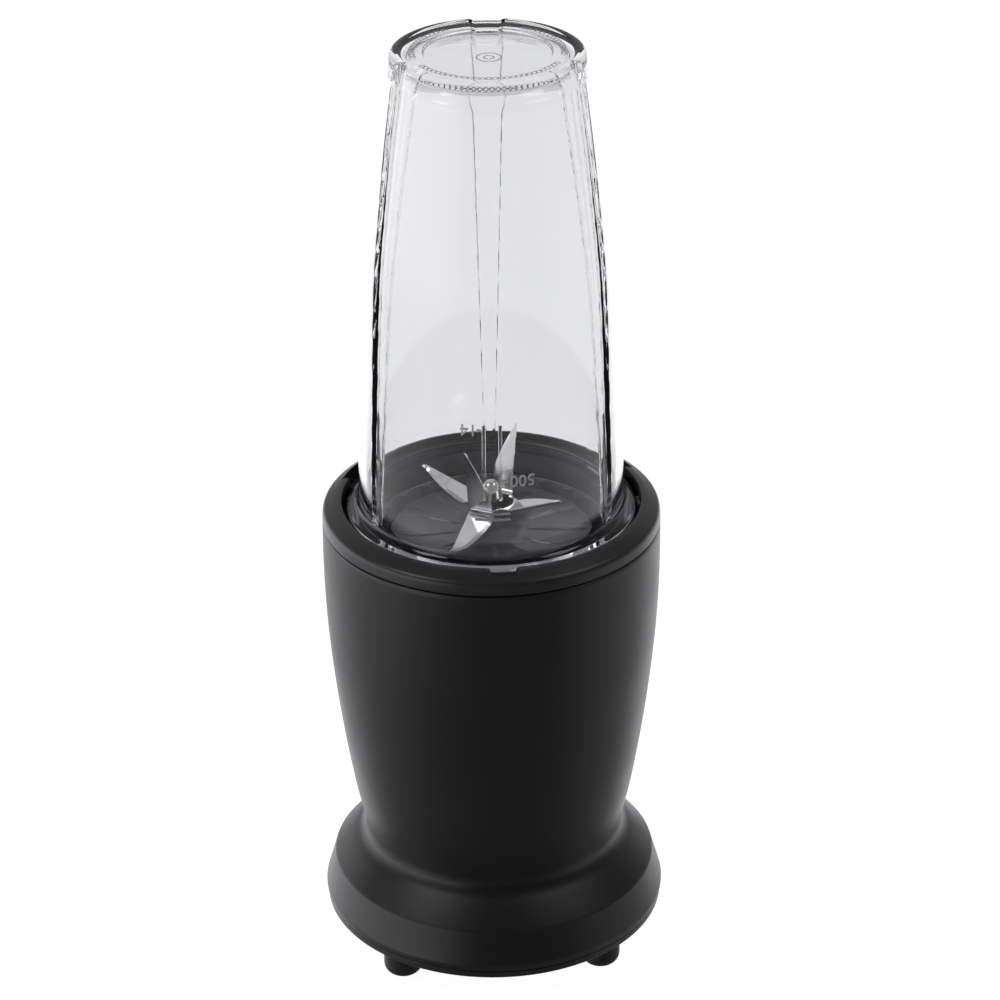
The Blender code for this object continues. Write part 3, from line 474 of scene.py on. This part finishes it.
well_outline = rounded([
    (52.0, 159.3, 0.2), (53.2, 159.3, 0.2), (53.2, 151.2, 0.3), (50.2, 151.2, 0), (50.2, 139.0, 0.8), (38.6, 126.0, 2.0),
    (36.2, 116.0, 1.0), (5.4, 116.0, 0.3), (5.4, WELL_FLOOR_TOP, 0.3), (12.0, WELL_FLOOR_TOP, 0), (20.0, WELL_FLOOR_TOP, 0),
    (33.8, WELL_FLOOR_TOP, 2.5), (36.6, 127.6, 2.0), (48.6, 141.0, 1.2), (48.6, 150.0, 0), (48.6, 153.0, 0.5),
    (52.0, 153.0, 0.3)], 5)
well = spun("drive_well", well_outline, 144)
windows = []
for azimuth in SLOT_HALF_ANGLES:
    turns = np.radians(azimuth - PIN_LAG + np.linspace(-PIN_HALF_ANGLE, PIN_HALF_ANGLE, 7))
    arc = np.concatenate([np.stack([r * np.sin(t), -r * np.cos(t)], -1)
                          for r, t in ((51.95, turns), (50.25, turns[::-1]))])
    rows = np.stack([np.column_stack([arc, np.full(len(arc), z)]) for z in (148.0, 156.0)])
    windows.append(surface(f"window_{int(azimuth)}", rows, along=False))
dress(carved(well, *windows), "base", grey_plastic, "dark_plastic", "well")


# ---- blade holder --------------------------------------------------------------------------
# The jar's screw-on base is one dark grey moulding: a dish with a hub for the blade shaft, a
# flat floor stiffened by radial ribs, a moat with webs round the floor, and a deep groove in
# which the cup's threaded mouth screws down. Three tabs on its side lock it in the collar.

HOLDER_RADIUS = 48.0
HOLDER_BOTTOM = 139.0
PLATFORM = 151.5
MOAT_RIBS = 24
FLOOR_RIBS = 12

holder_outline = rounded(
    [(44.9, 160.5, 0.25), (47.6, 160.5, 0.3), (HOLDER_RADIUS, 160.0, 0.2), (HOLDER_RADIUS, 145.0, 0.8),
     (46.5, HOLDER_BOTTOM, 0.8), (38.0, HOLDER_BOTTOM, 0.4), (33.4, 139.4, 0.4), (32.4, 148.6, 0.8), (10.0, 148.6, 0.8),
     (8.0, 146.0, 0.6), (8.0, 139.3, 0.3), (5.3, 139.3, 0.2), (5.3, 158.2, 0.2), (6.6, 158.2, 0.4), (7.4, 155.0, 1.0),
     (9.4, 152.2, 1.2)]
    + [(r, PLATFORM, 0.0) for r in np.linspace(13.0, 33.0, 11)]
    + [(34.0, PLATFORM, 0.3), (34.6, 142.4, 0.5), (40.2, 142.4, 0.5), (40.5, 151.9, 0.25), (41.2, 151.9, 0.25),
       (41.2, 141.8, 0.2), (44.9, 141.8, 0.2)], 4)


def dish_ribs(a, r, z):
    """Raises the floor by 0.5 mm along twelve ribs that widen outwards, and fills the moat up to
    the floor's level along twenty-four webs that widen outwards from 1.6 to 4 mm."""
    spoke = np.abs((a * FLOOR_RIBS / 360.0 + 0.5) % 1.0 - 0.5) * 360.0 / FLOOR_RIBS
    across = np.radians(spoke) * r
    floor = (np.abs(z - PLATFORM) < 0.01) & (r > 12.5) & (r < 33.5)
    z = z + 0.5 * floor * np.clip((0.6 + r / 24.0 - across) / 0.35, 0, 1)
    web = np.abs((a * MOAT_RIBS / 360.0 + 0.5) % 1.0 - 0.5) * 360.0 / MOAT_RIBS
    moat = (r > 34.4) & (r < 40.4) & (z > 141.8) & (z < 143.0)
    fill = np.clip((0.8 + 0.17 * (r - 34.0) - np.radians(web) * r) / 0.4, 0, 1)
    return r, np.where(moat, z + fill * (PLATFORM - 0.2 - z), z)


holder_turns = np.unique(np.concatenate([
    np.arange(0, 360, 1.5),
    *[(k * 360.0 / MOAT_RIBS + np.array([-2.4, -2.0, -1.7, -1.3, 1.3, 1.7, 2.0, 2.4])) % 360.0 for k in range(MOAT_RIBS)]]).round(3))
dish = spun("blade_dish", holder_outline, holder_turns, dish_ribs)


def tab(azimuth, half):
    """A bayonet tab: a box round the dish whose underside ramps up over its clockwise half."""
    turns = azimuth + np.linspace(-half, half, 13)
    low = np.interp(turns, [azimuth - half, azimuth, azimuth + half], [158.3, 155.5, 155.5])
    loops = []
    for turn, bottom in zip(turns, low):
        section = rounded([(47.2, 159.3, 0), (51.3, 159.3, 0.35), (51.3, bottom, 0.35), (47.2, bottom, 0)])
        loops.append([at(turn, r, z) for r, z, _ in section])
    return surface(f"bayonet_tab_{int(azimuth)}", np.array(loops), along=False)


dish_grey = finish("dish_grey", (0.150, 0.146, 0.170), 0.24, spread=0.08, patches=30.0, grain=2200.0, depth=0.001,
                   worn=(0.20, 0.195, 0.22), specular=0.6)
dress(dish, "blade_unit", dish_grey, "dark_plastic", "blade_holder")
for azimuth, half in ((0.0, 3.6), (120.0, 7.5), (240.0, 7.5)):
    dress(tab(azimuth, half), "blade_unit", grey_plastic, "dark_plastic")


# ---- gasket and thrust washer --------------------------------------------------------------
# A grey silicone ring lies in the bottom of the dish's groove and seals the cup's mouth. A
# ground steel washer lies loose under the hub.

soft_silicone = finish("soft_silicone", (0.30, 0.30, 0.31), 0.55, spread=0.10, patches=60.0, grain=900.0, depth=0.02)
gasket = spun("silicone_gasket", rounded([(41.5, 142.1, 0.3), (44.6, 142.1, 0.3), (44.6, 143.4, 0.5), (43.05, 142.9, 0.6),
                                          (41.5, 143.4, 0.5)]), 144)
dress(gasket, "gasket", soft_silicone, "silicone", "cup_gasket")

steel_ground = finish("ground_steel", (0.62, 0.61, 0.60), 0.20, metallic=1.0, spread=0.10, patches=120.0, grain=5200.0,
                      depth=0.004)
washer = spun("thrust_ring", rounded([(3.2, 138.3, 0.1), (7.0, 138.3, 0.15), (7.0, 139.0, 0.15), (3.2, 139.0, 0.1)]), 48)
dress(washer, "jar_seat", steel_ground, "blade_steel", "thrust_washer")


# ---- blades --------------------------------------------------------------------------------
# Two plates are stamped from 1.2 mm stainless sheet, ground to an edge on the convex side of
# each leaf, and bent: four leaves up, two gently and two steeply, over two that fall.

BLADE_TURN = -28.5
BLADE_LEVEL = 161.5
BLADE_THICKNESS = 1.2
LEAF_STEPS = 44
BEND_RADIUS = 3.0

blade_sheet = finish("stamped_stainless", (0.70, 0.69, 0.69), 0.13, metallic=1.0, spread=0.05, patches=90.0,
                     grain=1600.0, depth=0.0006, stretch=(0.15, 1.0, 1.0))


def leaf(name, azimuth, bend, length, level, thickness):
    """A leaf is a flat strip along u, whose width runs from a straight back at v = -4.4 to -3.4
    to a cutting edge at v = -3.4 + 8 (1 - s^1.7), s being the fraction of its length. The strip
    follows a path that is flat, turns up by the bend on a 3 mm arc, and then runs straight. Its
    cutting side is ground over 1 mm from full thickness down to a third of a millimetre."""
    share = np.linspace(0.0, 1.0, LEAF_STEPS) ** 0.9
    run = -6.0 + (length + 6.0) * share
    s = np.clip(run / length, 0.0, 1.0)
    back = -4.4 + s
    front = np.where(run < 0, 4.3, -3.4 + 8.0 * (1.0 - s ** 1.7))
    front = np.minimum(front, 4.3 + 0.3 * np.clip(run / 4.0, 0, 1))
    width = np.maximum(front - back, 0.06)
    ground = np.minimum(1.0, width * 0.4)
    full = thickness * np.clip((length - run) / 1.2, 0.12, 1.0)
    keen = np.clip((run + 1.5) / 2.0, 0, 1)
    thin = full * (1.0 - 0.7 * keen)
    relief = np.minimum(0.16, width * 0.08)
    v = np.stack([back, back + relief, front - ground, front, front, front - ground, back + relief, back], -1)
    w = np.stack([0 * full + 0.2, full, full, thin, 0 * full, 0 * full, 0 * full, 0 * full], -1)
    w[:, 0] = full * 0.75
    w[:, 7] = full * 0.25
    angle = math.radians(bend)
    arc = abs(angle) * BEND_RADIUS
    turned = np.clip((run + arc / 2) / arc, 0, 1) * angle
    flat = np.minimum(run + arc / 2, 0.0)
    straight = np.maximum(run - arc / 2, 0.0)
    sign = math.copysign(1.0, angle)
    u = flat - arc / 2 + BEND_RADIUS * np.sin(np.abs(turned)) + straight * math.cos(angle)
    rise = sign * BEND_RADIUS * (1 - np.cos(turned)) + straight * math.sin(angle)
    out = 8.4 + u[:, None] - w * np.sin(turned)[:, None]
    up = level + rise[:, None] + w * np.cos(turned)[:, None]
    a = math.radians(azimuth)
    points = np.stack([out * math.sin(a) + v * math.cos(a), -out * math.cos(a) + v * math.sin(a), up], -1)
    return surface(name, points[:, ::-1], along=False, sharp=20.0)


def joined(name, pieces):
    """One object made of several pieces' meshes."""
    whole = bmesh.new()
    for piece in pieces:
        whole.from_mesh(piece.data)
        bpy.data.objects.remove(piece)
    mesh = bpy.data.meshes.new(name)
    whole.to_mesh(mesh)
    whole.free()
    obj = bpy.data.objects.new(name, mesh)
    bpy.context.scene.collection.objects.link(obj)
    return obj


def plate(name, level, leaves, bore):
    """A stamped plate: a round middle with a bore, and its bent leaves."""
    middle = spun(name + "_middle", rounded([(bore, level, 0.1), (7.6, level, 0.15), (7.6, level + BLADE_THICKNESS, 0.2),
                                             (bore, level + BLADE_THICKNESS, 0.1)]), 64)
    pieces = [leaf(f"{name}_{k}", *shape, level, BLADE_THICKNESS) for k, shape in enumerate(leaves)]
    return joined(name, [middle, *pieces])


upper = plate("rising_blades", BLADE_LEVEL, [(BLADE_TURN, 78.0, 24.6), (BLADE_TURN + 180, 78.0, 24.6),
                                             (BLADE_TURN + 90, 21.0, 20.0), (BLADE_TURN + 270, 21.0, 20.0)], 2.6)
dress(upper, "blades", blade_sheet, "blade_steel", "blade_upper")
lower = plate("falling_blades", BLADE_LEVEL - BLADE_THICKNESS - 0.3, [(BLADE_TURN, -22.0, 20.3),
                                                                      (BLADE_TURN + 180, -22.0, 20.3)], 2.9)
dress(lower, "blades", blade_sheet, "blade_steel", "blade_lower")


# ---- blade shaft ---------------------------------------------------------------------------
# The blades are clamped between a steel spacer and a polished dome nut on a turned stainless
# shaft, which runs in two sintered bushes and a lip seal in the dish's hub.

nut_outline = rounded([(0, 170.2, 0), (1.7, 169.9, 0.8), (3.0, 168.2, 0.9), (3.45, 166.2, 0.6), (3.7, 163.0, 0.15),
                       (2.5, 163.0, 0.1), (2.5, 167.7, 0.1), (0, 167.7, 0)], 5)
dress(spun("polished_nut", nut_outline, 48), "blades", steel_ground, "blade_steel", "dome_nut")
dress(spun("spacer_ring", rounded([(3.3, 158.5, 0.1), (6.2, 158.5, 0.2), (6.2, 159.3, 0.2), (3.3, 159.3, 0.1)]), 48),
      "blades", steel_ground, "blade_steel", "blade_spacer")
shaft_outline = rounded([(0, 167.4, 0), (1.9, 167.4, 0.2), (2.2, 167.0, 0.1), (2.2, 162.6, 0.3), (3.0, 159.5, 0.3),
                         (3.0, 133.2, 0.3), (2.5, 132.7, 0.1), (0, 132.7, 0)])
dress(spun("turned_shaft", shaft_outline, 40), "blades", steel_ground, "blade_steel", "blade_shaft")


# ---- couplings -----------------------------------------------------------------------------
# The drive passes through a dog clutch: six lugs of moulded rubber on the motor shaft stand
# between six lugs of plated steel under the jar.

LUGS = 6
LUG_HALF_ANGLE = 12.0


def lug(name, azimuth, low, high, inner, outer):
    """One tooth: a sector of a ring, with its upper corners rounded off by half a millimetre."""
    turns = azimuth + np.linspace(-LUG_HALF_ANGLE, LUG_HALF_ANGLE, 9)
    loops = []
    for turn in turns:
        end = 0.5 * max(0.0, abs(turn - azimuth) / LUG_HALF_ANGLE - 0.75) / 0.25
        section = rounded([(inner, low, 0), (outer, low, 0), (outer, high - end, 0.5), (inner, high - end, 0.4)])
        loops.append([at(turn, r, z) for r, z, _ in section])
    return surface(name, np.array(loops), along=False)


drive_body = spun("drive_dog", rounded([(0, 127.3, 0), (11.3, 127.3, 0.3), (12.2, 126.0, 0.3), (12.2, 123.2, 0.4),
                                        (10.6, 121.5, 0.3), (3.3, 121.5, 0.1), (3.3, 126.8, 0), (0, 126.8, 0)]), 72)
drive_lugs = [lug(f"drive_{k}", k * 360.0 / LUGS, 127.2, 134.2, 6.6, 11.0) for k in range(LUGS)]
dress(joined("drive_dog", [drive_body, *drive_lugs]), "rotor", rubber_black, "rubber", "drive_coupling")
driven_body = spun("driven_dog", rounded([(0, 131.0, 0), (5.7, 131.0, 0.4), (5.9, 134.8, 0), (11.4, 134.8, 0.3),
                                          (11.4, 138.0, 0.3), (4.0, 138.0, 0.2), (3.3, 137.8, 0), (3.3, 132.4, 0),
                                          (0, 132.4, 0)]), 72)
driven_lugs = [lug(f"driven_{k}", (k + 0.5) * 360.0 / LUGS, 127.8, 134.9, 6.6, 11.0) for k in range(LUGS)]
dress(joined("driven_dog", [driven_body, *driven_lugs]), "blades", zinc_plate, "plated_steel", "driven_coupling")


# ---- cup -----------------------------------------------------------------------------------
# The cup is injection moulded in clear copolyester, 2.4 mm thick, and stands on its threaded
# mouth. A flange rests on the dish's rim. Three flutes run up its wall and notch the rim of the
# closed end, which is slightly dished.

CUP_TURN = -3.7
CUP_WALL = 2.4
FLUTE_AZIMUTHS = (-60.0, 60.0, 180.0)
wall_heights = np.array([166.5, 176.0, 181.5, 196.5, 211.5, 231.5, 251.5, 271.5, 291.5, 306.5, 314.5, 317.8])
wall_radii = np.array([43.75, 43.75, 43.65, 42.94, 42.23, 41.36, 40.08, 37.85, 35.31, 33.1, 31.89, 31.3])


def flutes(a, r, z):
    """Presses three flat-bottomed channels into both faces of the wall: from 0.9 mm deep and 4
    wide above the flange to 2.5 mm deep and 12 wide at the closed end, with sides that follow
    3t^2 - 2t^3. The depth fades out over the closed end's face and below the fillet."""
    rise = np.clip((z - 165.0) / 153.0, 0, 1)
    half = 1.0 + 3.4 * rise
    side_width = 1.0 + 0.7 * rise
    low = np.clip((z - 164.5) / 3.5, 0, 1)
    depth = (0.9 + 1.6 * rise) * low * low * (3 - 2 * low) * np.clip((r - 22.0) / 9.0, 0, 1)
    around = np.interp(z, wall_heights, wall_radii)
    for flute in FLUTE_AZIMUTHS:
        away = np.radians(np.abs((a - flute - CUP_TURN + 180.0) % 360.0 - 180.0)) * around
        t = np.clip((half + side_width - away) / side_width, 0, 1)
        r = r - depth * t * t * (3 - 2 * t)
    return r, z


cup_copolyester = bpy.data.materials.new("clear_copolyester")
cup_copolyester.use_nodes = True
tree = cup_copolyester.node_tree
clear = tree.nodes["Principled BSDF"]
clear.inputs["Transmission Weight"].default_value = 1.0
clear.inputs["IOR"].default_value = 1.4
where = wire(tree, "ShaderNodeTexCoord").outputs["Object"]
haze = wire(tree, "ShaderNodeTexNoise", {"Vector": where, "Scale": 60.0, "Detail": 3.0}).outputs["Fac"]
ripple = wire(tree, "ShaderNodeTexNoise", {"Vector": where, "Scale": 24.0, "Detail": 1.0}).outputs["Fac"]
clear_tint = wire(tree, "ShaderNodeMix", {"Factor": haze, "A": (0.845, 0.847, 0.857, 1), "B": (0.865, 0.867, 0.877, 1)},
                  data_type="RGBA").outputs["Result"]
height = wire(tree, "ShaderNodeSeparateXYZ", {"Vector": where}).outputs["Z"]
# Painted shade: from the flange up to the fillet the clear base colour is darkened to a mid grey, standing for the
# shade of the dark plastic round the cup's mouth.
flange_shade_band = math_node(tree, "MULTIPLY", ramp(tree, height, 0.1625, 0.166, 1.0, 0.0),
                         ramp(tree, height, 0.1596, 0.1604, 0.0, 1.0))
flange_painted_shade = wire(tree, "ShaderNodeMix", {"Factor": flange_shade_band, "A": clear_tint, "B": (0.24, 0.24, 0.26, 1)},
                  data_type="RGBA").outputs["Result"]
tree.links.new(flange_painted_shade, clear.inputs["Base Color"])
tree.links.new(ramp(tree, haze, 0.3, 0.7, 0.001, 0.006), clear.inputs["Roughness"])
waved = wire(tree, "ShaderNodeBump", {"Height": ripple, "Strength": 0.3, "Distance": 0.00001})
tree.links.new(waved.outputs["Normal"], clear.inputs["Normal"])

outer_wall = curve(np.stack([wall_radii, wall_heights], -1), 5)
inner_wall = [(r - CUP_WALL, z) for r, z in outer_wall[::-1] if 168.0 < z < 312.0]
cup_outline = rounded(
    [(41.4, 143.8, 0.3), (44.0, 143.8, 0.5), (44.0, 160.8, 0.2), (47.7, 160.8, 0.3), (47.7, 162.0, 0.5),
     (45.3, 163.0, 0.9), (44.0, 164.4, 1.2)] + plain(outer_wall)
    + [(31.0, 319.6, 1.6), (29.6, 320.4, 1.0), (27.9, 320.35, 0.5), (27.2, 319.9, 0.4), (20.5, 319.9, 0.3),
       (20.1, 319.4, 0.3), (0.0, 319.4, 0), (0.0, 317.2, 0), (25.6, 317.2, 3.0), (28.9, 314.0, 3.0)]
    + plain(inner_wall) + [(41.4, 166.0, 1.5)], 5)
flute_turns = [flute + CUP_TURN + np.arange(-13.0, 13.1, 0.5) for flute in FLUTE_AZIMUTHS]
between = [flute + CUP_TURN + np.arange(15.0, 106.0, 2.5) for flute in FLUTE_AZIMUTHS]
cup_turns = np.unique(np.round(np.concatenate(flute_turns + between) % 360.0, 3))
cup = spun("clear_cup", cup_outline, cup_turns, flutes)
dress(cup, "cup", cup_copolyester, "clear_plastic", "cup")


# ---- cup thread and marks ------------------------------------------------------------------
# A one-turn rounded thread is moulded on the mouth. The wall carries raised, frosted fill
# marks, which read the right way up when the cup stands on its closed end.

THREAD_PITCH = 8.1
turns = np.linspace(0.0, 1.35, 160)
swell = np.clip(np.minimum(turns, 1.35 - turns) / 0.05, 0.0, 1.0)
section = np.array([(-0.25, -1.3), (0.35, -0.7), (0.62, 0.0), (0.35, 0.7), (-0.25, 1.3)])
reach = 44.0 + section[None, :, 0] * (0.25 + 0.75 * swell[:, None])
height = 146.5 + THREAD_PITCH * turns[:, None] + section[None, :, 1] * (0.3 + 0.7 * swell[:, None])
angle = 2 * math.pi * turns[:, None]
thread = surface("cup_thread", np.stack([reach * np.sin(angle), -reach * np.cos(angle), height], -1), along=False)
dress(thread, "cup", cup_copolyester, "clear_plastic")

frosted = bpy.data.materials.new("frosted_marks")
frosted.use_nodes = True
tree = frosted.node_tree
ground = tree.nodes["Principled BSDF"]
ground.inputs["Transmission Weight"].default_value = 0.8
where = wire(tree, "ShaderNodeTexCoord").outputs["Object"]
speck = wire(tree, "ShaderNodeTexNoise", {"Vector": where, "Scale": 900.0, "Detail": 2.0}).outputs["Fac"]
milky = wire(tree, "ShaderNodeMix", {"Factor": speck, "A": (0.62, 0.62, 0.64, 1), "B": (0.80, 0.80, 0.82, 1)},
             data_type="RGBA").outputs["Result"]
tree.links.new(milky, ground.inputs["Base Color"])
tree.links.new(ramp(tree, speck, 0.3, 0.7, 0.35, 0.6), ground.inputs["Roughness"])
pitted = wire(tree, "ShaderNodeBump", {"Height": speck, "Strength": 0.6, "Distance": 0.00003})
tree.links.new(pitted.outputs["Normal"], ground.inputs["Normal"])


def strip(name, azimuths, low, high, lift=0.3, steps=24):
    """A raised bar on the cup's wall between two azimuths and two heights, with bevelled sides."""
    turn = np.linspace(azimuths[0], azimuths[1], 9)
    rows = np.linspace(low, high, steps)
    base = np.interp(rows, wall_heights, wall_radii)[:, None]
    inset = np.clip(np.minimum(np.arange(9), 8 - np.arange(9)) / 1.0, 0, 1)[None, :]
    ends = np.clip(np.minimum(np.arange(steps), steps - 1 - np.arange(steps)) / 1.0, 0, 1)[:, None]
    top = base + lift * inset * ends - 0.02
    under = np.broadcast_to(base - 0.25, top.shape)
    reach = np.hstack([top, under[:, ::-1]])
    a = np.radians(np.hstack([turn, turn[::-1]]))[None, :]
    z = np.broadcast_to(rows[:, None], reach.shape)
    return surface(name, np.stack([reach * np.sin(a), -reach * np.cos(a), z], -1), along=False)


def numeral(name, text, azimuth, height, size):
    """Figures cut from Blender's own font, turned upside down and wrapped on the cup's wall."""
    letters = bpy.data.curves.new(name, "FONT")
    letters.body = text
    letters.size = size
    letters.align_x = "CENTER"
    letters.extrude = 0.25
    letters.resolution_u = 4
    guide = bpy.data.objects.new(name, letters)
    bpy.context.scene.collection.objects.link(guide)
    mesh = bpy.data.meshes.new_from_object(guide.evaluated_get(bpy.context.evaluated_depsgraph_get()))
    bpy.data.objects.remove(guide)
    points = np.empty(len(mesh.vertices) * 3, np.float32)
    mesh.vertices.foreach_get("co", points)
    x, y, lift = points.reshape(-1, 3).T.astype(float)
    z = height - (y - size * 0.35)
    around = np.interp(z, wall_heights, wall_radii)
    a = np.radians(azimuth) - x / around
    r = around + lift + 0.02
    wrapped = np.stack([r * np.sin(a), -r * np.cos(a), z], -1) * MM
    mesh.vertices.foreach_set("co", np.ascontiguousarray(wrapped, np.float32).ravel())
    whole = bmesh.new()
    whole.from_mesh(mesh)
    bmesh.ops.remove_doubles(whole, verts=whole.verts, dist=1e-7)
    bmesh.ops.recalc_face_normals(whole, faces=whole.faces)
    whole.to_mesh(mesh)
    whole.free()
    obj = bpy.data.objects.new(name, mesh)
    bpy.context.scene.collection.objects.link(obj)
    return obj


LEFT_RIDGE = -7.2
RIGHT_RIDGE = -0.2
ridges = [strip("ridge_left", (LEFT_RIDGE - 0.8, LEFT_RIDGE + 0.8), 184.5, 210.5),
          strip("ridge_right", (RIGHT_RIDGE - 0.8, RIGHT_RIDGE + 0.8), 184.5, 210.5)]
dress(joined("scale_ridges", ridges), "cup", cup_copolyester, "clear_plastic")
marks = [strip("tick_left_high", (LEFT_RIDGE - 3.2, LEFT_RIDGE - 1.1), 208.4, 209.3, steps=6),
         strip("tick_right_low", (RIGHT_RIDGE + 1.1, RIGHT_RIDGE + 3.2), 190.6, 191.5, steps=6),
         strip("fill_line_low", (LEFT_RIDGE - 4.0, RIGHT_RIDGE + 4.0), 177.4, 178.2, steps=6),
         strip("fill_line_high", (LEFT_RIDGE - 4.0, RIGHT_RIDGE + 4.0), 179.4, 180.2, steps=6),
         numeral("ounces", "14", LEFT_RIDGE - 6.6, 208.8, 5.6),
         numeral("millilitres", "500", RIGHT_RIDGE + 9.4, 191.0, 5.6)]
dress(joined("fill_marks", marks), "cup", frosted, "clear_plastic")


def ring_arc(name, radius, azimuths, middle=(0.0, 0.0), width=0.5, count=48):
    """A low bead on the closed end: an arc of a circle with a half-round section."""
    turn = np.radians(np.linspace(azimuths[0], azimuths[1], count))[:, None]
    roll = np.linspace(0, 2 * math.pi, 8, endpoint=False)[None, :]
    reach = radius + width * np.cos(roll) + 0 * turn
    z = END_FACE + 0.25 * width * np.sin(roll) + 0 * turn
    return surface(name, np.stack([middle[0] + reach * np.sin(turn), middle[1] - reach * np.cos(turn), z], -1),
                   along=False)


END_FACE = 319.42
small = [ring_arc("moulder_ring", 3.8, (0.0, 354.0), (0.0, -3.9), 0.25),
         ring_arc("moulder_ring_inner", 1.6, (0.0, 354.0), (0.0, -3.9), 0.25, 24)]
for start, stop in ((-62.0, 62.0), (80.0, 150.0), (210.0, 280.0)):
    for azimuth in np.arange(start, stop, 4.5):
        spoke = ring_arc(f"tick_{azimuth}", 0.9, (0.0, 350.0), tuple(at(azimuth, 23.9, 0))[:2], 0.2, 14)
        spoke.data.transform(Matrix.Translation((0, 0, 0.0005)))
        small.append(spoke)
dress(joined("end_marks", small), "cup", frosted, "clear_plastic")


# ---- inner pieces --------------------------------------------------------------------------
# The motor, the interlock and the bushes are only seen with the jar off or the base open. They
# keep their solids, each with the finish of its own stock.

core_steel = finish("laminated_steel", (0.20, 0.20, 0.21), 0.42, metallic=1.0, spread=0.2, patches=80.0, grain=1500.0,
                    depth=0.02, stretch=(0.1, 0.1, 3.0))
cast_alloy = finish("cast_alloy", (0.50, 0.51, 0.52), 0.45, metallic=1.0, spread=0.12, patches=70.0, grain=1800.0,
                    depth=0.03)
enamelled = finish("enamelled_wire", (0.55, 0.20, 0.06), 0.30, metallic=0.8, spread=0.25, patches=60.0, grain=1600.0,
                   depth=0.08, stretch=(1.0, 1.0, 4.0))
copper_bars = finish("copper_bars", (0.62, 0.28, 0.14), 0.28, metallic=1.0, spread=0.15, patches=200.0, grain=2500.0,
                     depth=0.01)
sintered = finish("sintered_bronze", (0.42, 0.27, 0.13), 0.55, metallic=1.0, spread=0.2, patches=200.0, grain=4200.0,
                  depth=0.03)
brass = finish("drawn_brass", (0.62, 0.44, 0.17), 0.28, metallic=1.0, spread=0.12, patches=90.0, grain=2600.0,
               depth=0.01, stretch=(1.0, 0.2, 1.0))
carbon = finish("pressed_carbon", (0.022, 0.022, 0.023), 0.58, spread=0.3, patches=300.0, grain=3800.0, depth=0.03)
natural = finish("natural_nylon", (0.52, 0.51, 0.47), 0.42, spread=0.06, patches=50.0, grain=2000.0, depth=0.01)
deck_grey = finish("deck_grey", (0.040, 0.040, 0.044), 0.42, spread=0.12, patches=40.0, grain=2400.0, depth=0.02)

grey_seal = finish("grey_seal", (0.20, 0.20, 0.21), 0.6, spread=0.1, patches=80.0, grain=1200.0, depth=0.02)
STOCKS = (
    (core_steel, ("stator_core", "armature_core")),
    (enamelled, ("field_coil_front", "field_coil_back", "armature_winding")),
    (copper_bars, ("commutator",)),
    (cast_alloy, ("motor_lower_bracket", "motor_upper_bracket")),
    (brass, ("brush_holder_left", "brush_holder_right")),
    (sintered, ("blade_bush_upper", "blade_bush_lower", "motor_lower_bearing", "motor_upper_bearing")),
    (carbon, ("carbon_brush_left", "carbon_brush_right")),
    (natural, ("interlock_ring", "switch_plunger", "cooling_fan")),
    (deck_grey, ("motor_deck", "switch_case", "fan_shroud")),
    (rubber_black, ("motor_mount_upper", "shaft_seal")),
    (grey_seal, ("blade_seal",)),
    (steel_ground, ("motor_shaft",)),
    (zinc_plate, ("motor_bolt_left", "motor_bolt_right", "motor_nut_left", "motor_nut_right", "brush_spring_left",
                  "brush_spring_right", "interlock_spring_1", "interlock_spring_2", "interlock_spring_3")),
)
for stock, names in STOCKS:
    for name in names:
        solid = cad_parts[name]
        solid.data.materials.clear()
        solid.data.materials.append(stock)
